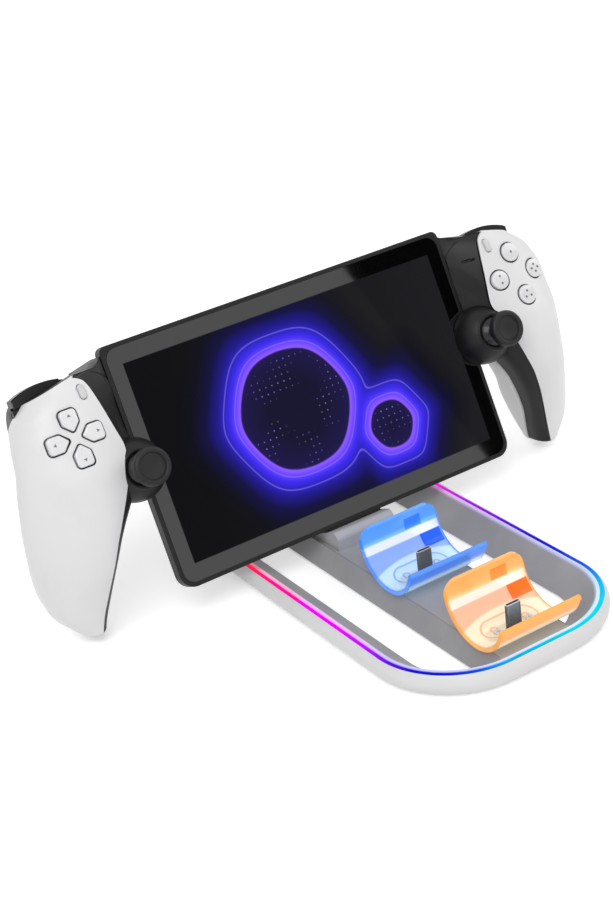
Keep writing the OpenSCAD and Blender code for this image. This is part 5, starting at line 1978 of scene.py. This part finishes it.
@dataclass(frozen=True)
class Dressing:
    """Finishes of the CAD nodes, some with their edges rounded first, and the plugs' mouths with
    their painted rim highlights and dark tongues.
    """

    plain: tuple[tuple[Moulded, tuple[str, ...]], ...] = (
        (Moulded.BOARD, ("led_ribbon", "dock_board", "main_board")),
        (Moulded.FOOT, ("rubber_feet",)),
        (Moulded.STEEL, ("hinge_pin", "stand_plug", "power_inlet", "charge_port", "haptic_motors")),
        (Moulded.DARK_METAL, ("grip_screws",)),
        (Moulded.PILL, ("dock_screws",)),
        (Moulded.RUBBER, ("stand_pad", "key_pads")),
        (Moulded.CELL, ("battery",)),
        (Moulded.SHELL_BLACK, (
            "speakers", "trigger_frames", "left_stick_yoke", "right_stick_yoke", "lcd_panel")),
        (Moulded.SATIN_STEM, ("left_stick", "right_stick")),
    )
    softened: tuple[tuple[Moulded, float, tuple[str, ...]], ...] = (
        (Moulded.DOCK_WHITE, 0.3, ("base_shell",)),
        (Moulded.STAND_PALE, 0.8, ("stand_arm",)),
        (Moulded.COVER, 0.2, ("bottom_cover",)),
        (Moulded.PLUG_STEEL, 0.12, ("rear_plug", "front_plug")),
        (Moulded.SHELL_BLACK, 0.4, ("front_frame", "rear_cover")),
        (Moulded.SOFT_BLACK, 0.5, ("left_bumper", "right_bumper", "left_trigger", "right_trigger")),
    )
    cradles: tuple[tuple[str, Translucent], ...] = (
        ("rear", Translucent(
            "tinted_polycarbonate_blue", "#cfeaff", "#7fa4f4", "#8accff", "#1463f2", "#1f88ff",
            -0.023)),
        ("front", Translucent(
            "tinted_polycarbonate_orange", "#fff1d8", "#f6b694", "#ffdaa0", "#ff7408", "#ffa400",
            -0.089)),
    )
    cradle_round: float = 0.5
    # The painted rim highlight: a thin white sheet at the top of each plug's mouth.
    lining: tuple[float, float, float, float] = (4.1, 1.17, 24.45, 24.52)
    # The dark tongue: partly a real insert, partly painted shade of the deep mouth.
    block: tuple[float, float, float, float] = (3.6, 0.68, 21.0, 24.56)

    def build(self) -> None:
        """Dresses the nodes."""
        for finish, nodes in self.plain:
            for node in nodes:
                dress(node, LIBRARY.get(finish))
        for finish, width, nodes in self.softened:
            for node in nodes:
                soften(node, LIBRARY.get(finish), width)
        soften("deck_frame", DeckGray().build(), 0.3)
        dress("light_strip", StripGlow().build())
        dress("screen_glass", DisplayGlass().build())
        for place, tint in self.cradles:
            soften(f"{place}_cradle", tint.build(), self.cradle_round).visible_glossy = False
        for place, tint in self.cradles:
            name = f"{place}_plug_mouth"
            # A thin white sheet at the mouth's top: a painted highlight of the shell's lit rim.
            self.mouth(f"{name}_lining", "steel", Moulded.KEY, self.lining, tint.y)
            # The dark tongue: partly a real insert, partly painted shade of the deep mouth.
            self.mouth(f"{name}_block", "black_plastic", Moulded.MOUTH, self.block, tint.y)

    def mouth(
        self, name: str, slot: str, finish: Moulded, sizes: tuple[float, float, float, float],
        y: float,
    ) -> None:
        """Builds the white sheet at the top of a plug's mouth, a painted highlight of the shell's
        lit rim, or the dark tongue inside the shell, whose black is partly painted shade of the
        deep mouth.
            slot: Material slot.
            finish: Its finish.
            sizes: Half width, half thickness, foot and top in millimetres.
            y: Place of the plug along the dock in metres.
        """
        half_w, half_t, low, high = sizes
        right = arc(half_t, -90, 90, 12, (half_w - half_t, 0.0))
        mesh = prism(low, high, [*right, *((-px, -py) for px, py in right)])
        maker = Piece(name, "dock", slot, LIBRARY.get(finish))
        maker.finish(maker.make(mesh, Matrix.Translation((0, y, 0)) @ Matrix.Scale(MM, 4)))


# ---------------------------------------------------------------- studio


@dataclass(frozen=True)
class SoftLight:
    """Square soft light that looks at the object, in metres and watts."""

    name: str
    place: tuple[float, float, float]
    target: tuple[float, float, float]
    power: float
    size: float = 1.2

    def build(self) -> None:
        """Adds the light."""
        data = bpy.data.lights.new(self.name, "AREA")
        data.shape = "SQUARE"
        data.size = self.size
        data.energy = self.power
        light = add_object(self.name, data)
        light.location = self.place
        aim = Vector(self.target) - Vector(self.place)
        light.rotation_euler = aim.to_track_quat("-Z", "Y").to_euler()


@dataclass(frozen=True)
class Studio:
    """Pale floor, soft light, a black card beside the glass, and the camera."""

    eye: tuple[float, float, float] = (-0.4045, -0.6375, 0.4448)
    azimuth: float = math.radians(29.57)
    elevation: float = math.radians(26.48)
    roll: float = math.radians(-7.86)
    lens: float = 70.51
    sensor: float = 36.0
    clip: float = 0.01
    ambient: float = 0.51
    floor_size: float = 4.0
    floor_drop: float = 0.0003
    floor_lift: float = 0.42
    lights: tuple[SoftLight, ...] = (
        SoftLight("key_light", (-0.9, -0.9, 1.5), (0, 0, 0.05), 15),
        SoftLight("fill_light", (1.3, -0.5, 0.9), (0, 0, 0.05), 5),
        SoftLight("back_light", (0.3, 1.4, 1.2), (0, 0, 0.08), 5),
    )
    flag_line: tuple[Point, Point] = ((31.5, 140.0), (92.6, -25.0))
    flag_reach: float = 210.0
    flag_throw: float = 0.5

    def build(self) -> None:
        """Adds everything round the object."""
        self.camera()
        self.floor()
        self.world()
        self.flag()
        for light in self.lights:
            light.build()

    def flag(self) -> None:
        """Adds the black card. Only reflections see it, so it darkens one side of the glass."""
        card = stand_up("dark_flag", surface(2, 2, self.flag_point))
        cloth = Graph(bpy.data.materials.new("black_flag_cloth"))
        shader = cloth.add("BsdfPrincipled", Base_Color="#050505", Specular_IOR_Level=0.0)
        card.data.materials.append(cloth.close(shader))
        card.visible_camera = False
        card.visible_diffuse = False
        card.visible_transmission = False
        card.visible_shadow = False

    def flag_point(self, u: float, v: float) -> Vector:
        """Point of the card, whose near edge the glass mirrors along a slanting line.

        Args:
            u: Share of the way from that edge outwards.
            v: Share of the way up.

        Returns:
            The point in the row frame.
        """
        to_world = CONSOLE.matrix()
        normal = (to_world.to_3x3() @ Vector((0, 0, 1))).normalized()
        eye = Vector(self.eye)
        mirrored = eye - 2 * (eye - to_world.translation).dot(normal) * normal
        (top_x, top_y), (low_x, low_y) = self.flag_line
        x = (low_x + (top_x - low_x) * v) * (1 - u) + self.flag_reach * u
        spot = to_world @ Vector((x, low_y + (top_y - low_y) * v, 0))
        return spot + (spot - mirrored) * self.flag_throw

    def camera(self) -> None:
        """Adds the camera at the viewing angle."""
        data = bpy.data.cameras.new("camera")
        data.lens = self.lens
        data.sensor_width = self.sensor
        data.clip_start = self.clip
        camera = add_object("camera", data)
        a, e, roll = self.azimuth, self.elevation, self.roll
        ahead = Vector((math.sin(a) * math.cos(e), math.cos(a) * math.cos(e), -math.sin(e)))
        right = Vector((math.cos(a), -math.sin(a), 0))
        up = right.cross(ahead)
        x = right * math.cos(roll) + up * math.sin(roll)
        y = up * math.cos(roll) - right * math.sin(roll)
        matrix = Matrix((x, y, -ahead)).transposed().to_4x4()
        matrix.translation = Vector(self.eye)
        camera.matrix_world = matrix
        bpy.context.scene.camera = camera

    def floor(self) -> None:
        """Adds the pale floor, which keeps the object's shadow."""
        mesh = bmesh.new()
        bmesh.ops.create_grid(mesh, x_segments=2, y_segments=2, size=self.floor_size)
        floor = stand_up("floor", mesh)
        floor.location = (0, 0, -self.floor_drop)
        graph = Graph(bpy.data.materials.new("matt_floor_paper"))
        fibres = graph.add("TexNoise", graph.place(), 3.0, 2.0)
        tone = graph.add("Mix", fibres, "#f7f7f7", "#f4f4f4", data_type="RGBA")
        floor.data.materials.append(graph.close(graph.add(
            "BsdfPrincipled",
            Base_Color=tone,
            Roughness=0.9,
            Specular_IOR_Level=0.0,
            Emission_Color=tone,
            Emission_Strength=graph.add("Math:MULTIPLY", graph.seen(), self.floor_lift),
        )))

    def world(self) -> None:
        """Makes white behind the object and soft gray light from all round."""
        graph = Graph(bpy.data.worlds.new("studio"))
        soft, pale = (graph.add("Background", "#ffffff", level) for level in (self.ambient, 1.0))
        bpy.context.scene.world = graph.close(graph.add("MixShader", graph.seen(), soft, pale))
        bpy.context.scene.view_settings.view_transform = "Standard"


def main() -> None:
    """Builds the scene in order."""
    logging.basicConfig(level=logging.INFO, format="%(name)s: %(message)s")
    Studio().build()
    Dressing().build()
    for side in Side:
        Grip(side).build()
        KeyCluster(side).build()
        Stick(side).build()


if __name__ == "__main__":
    main()
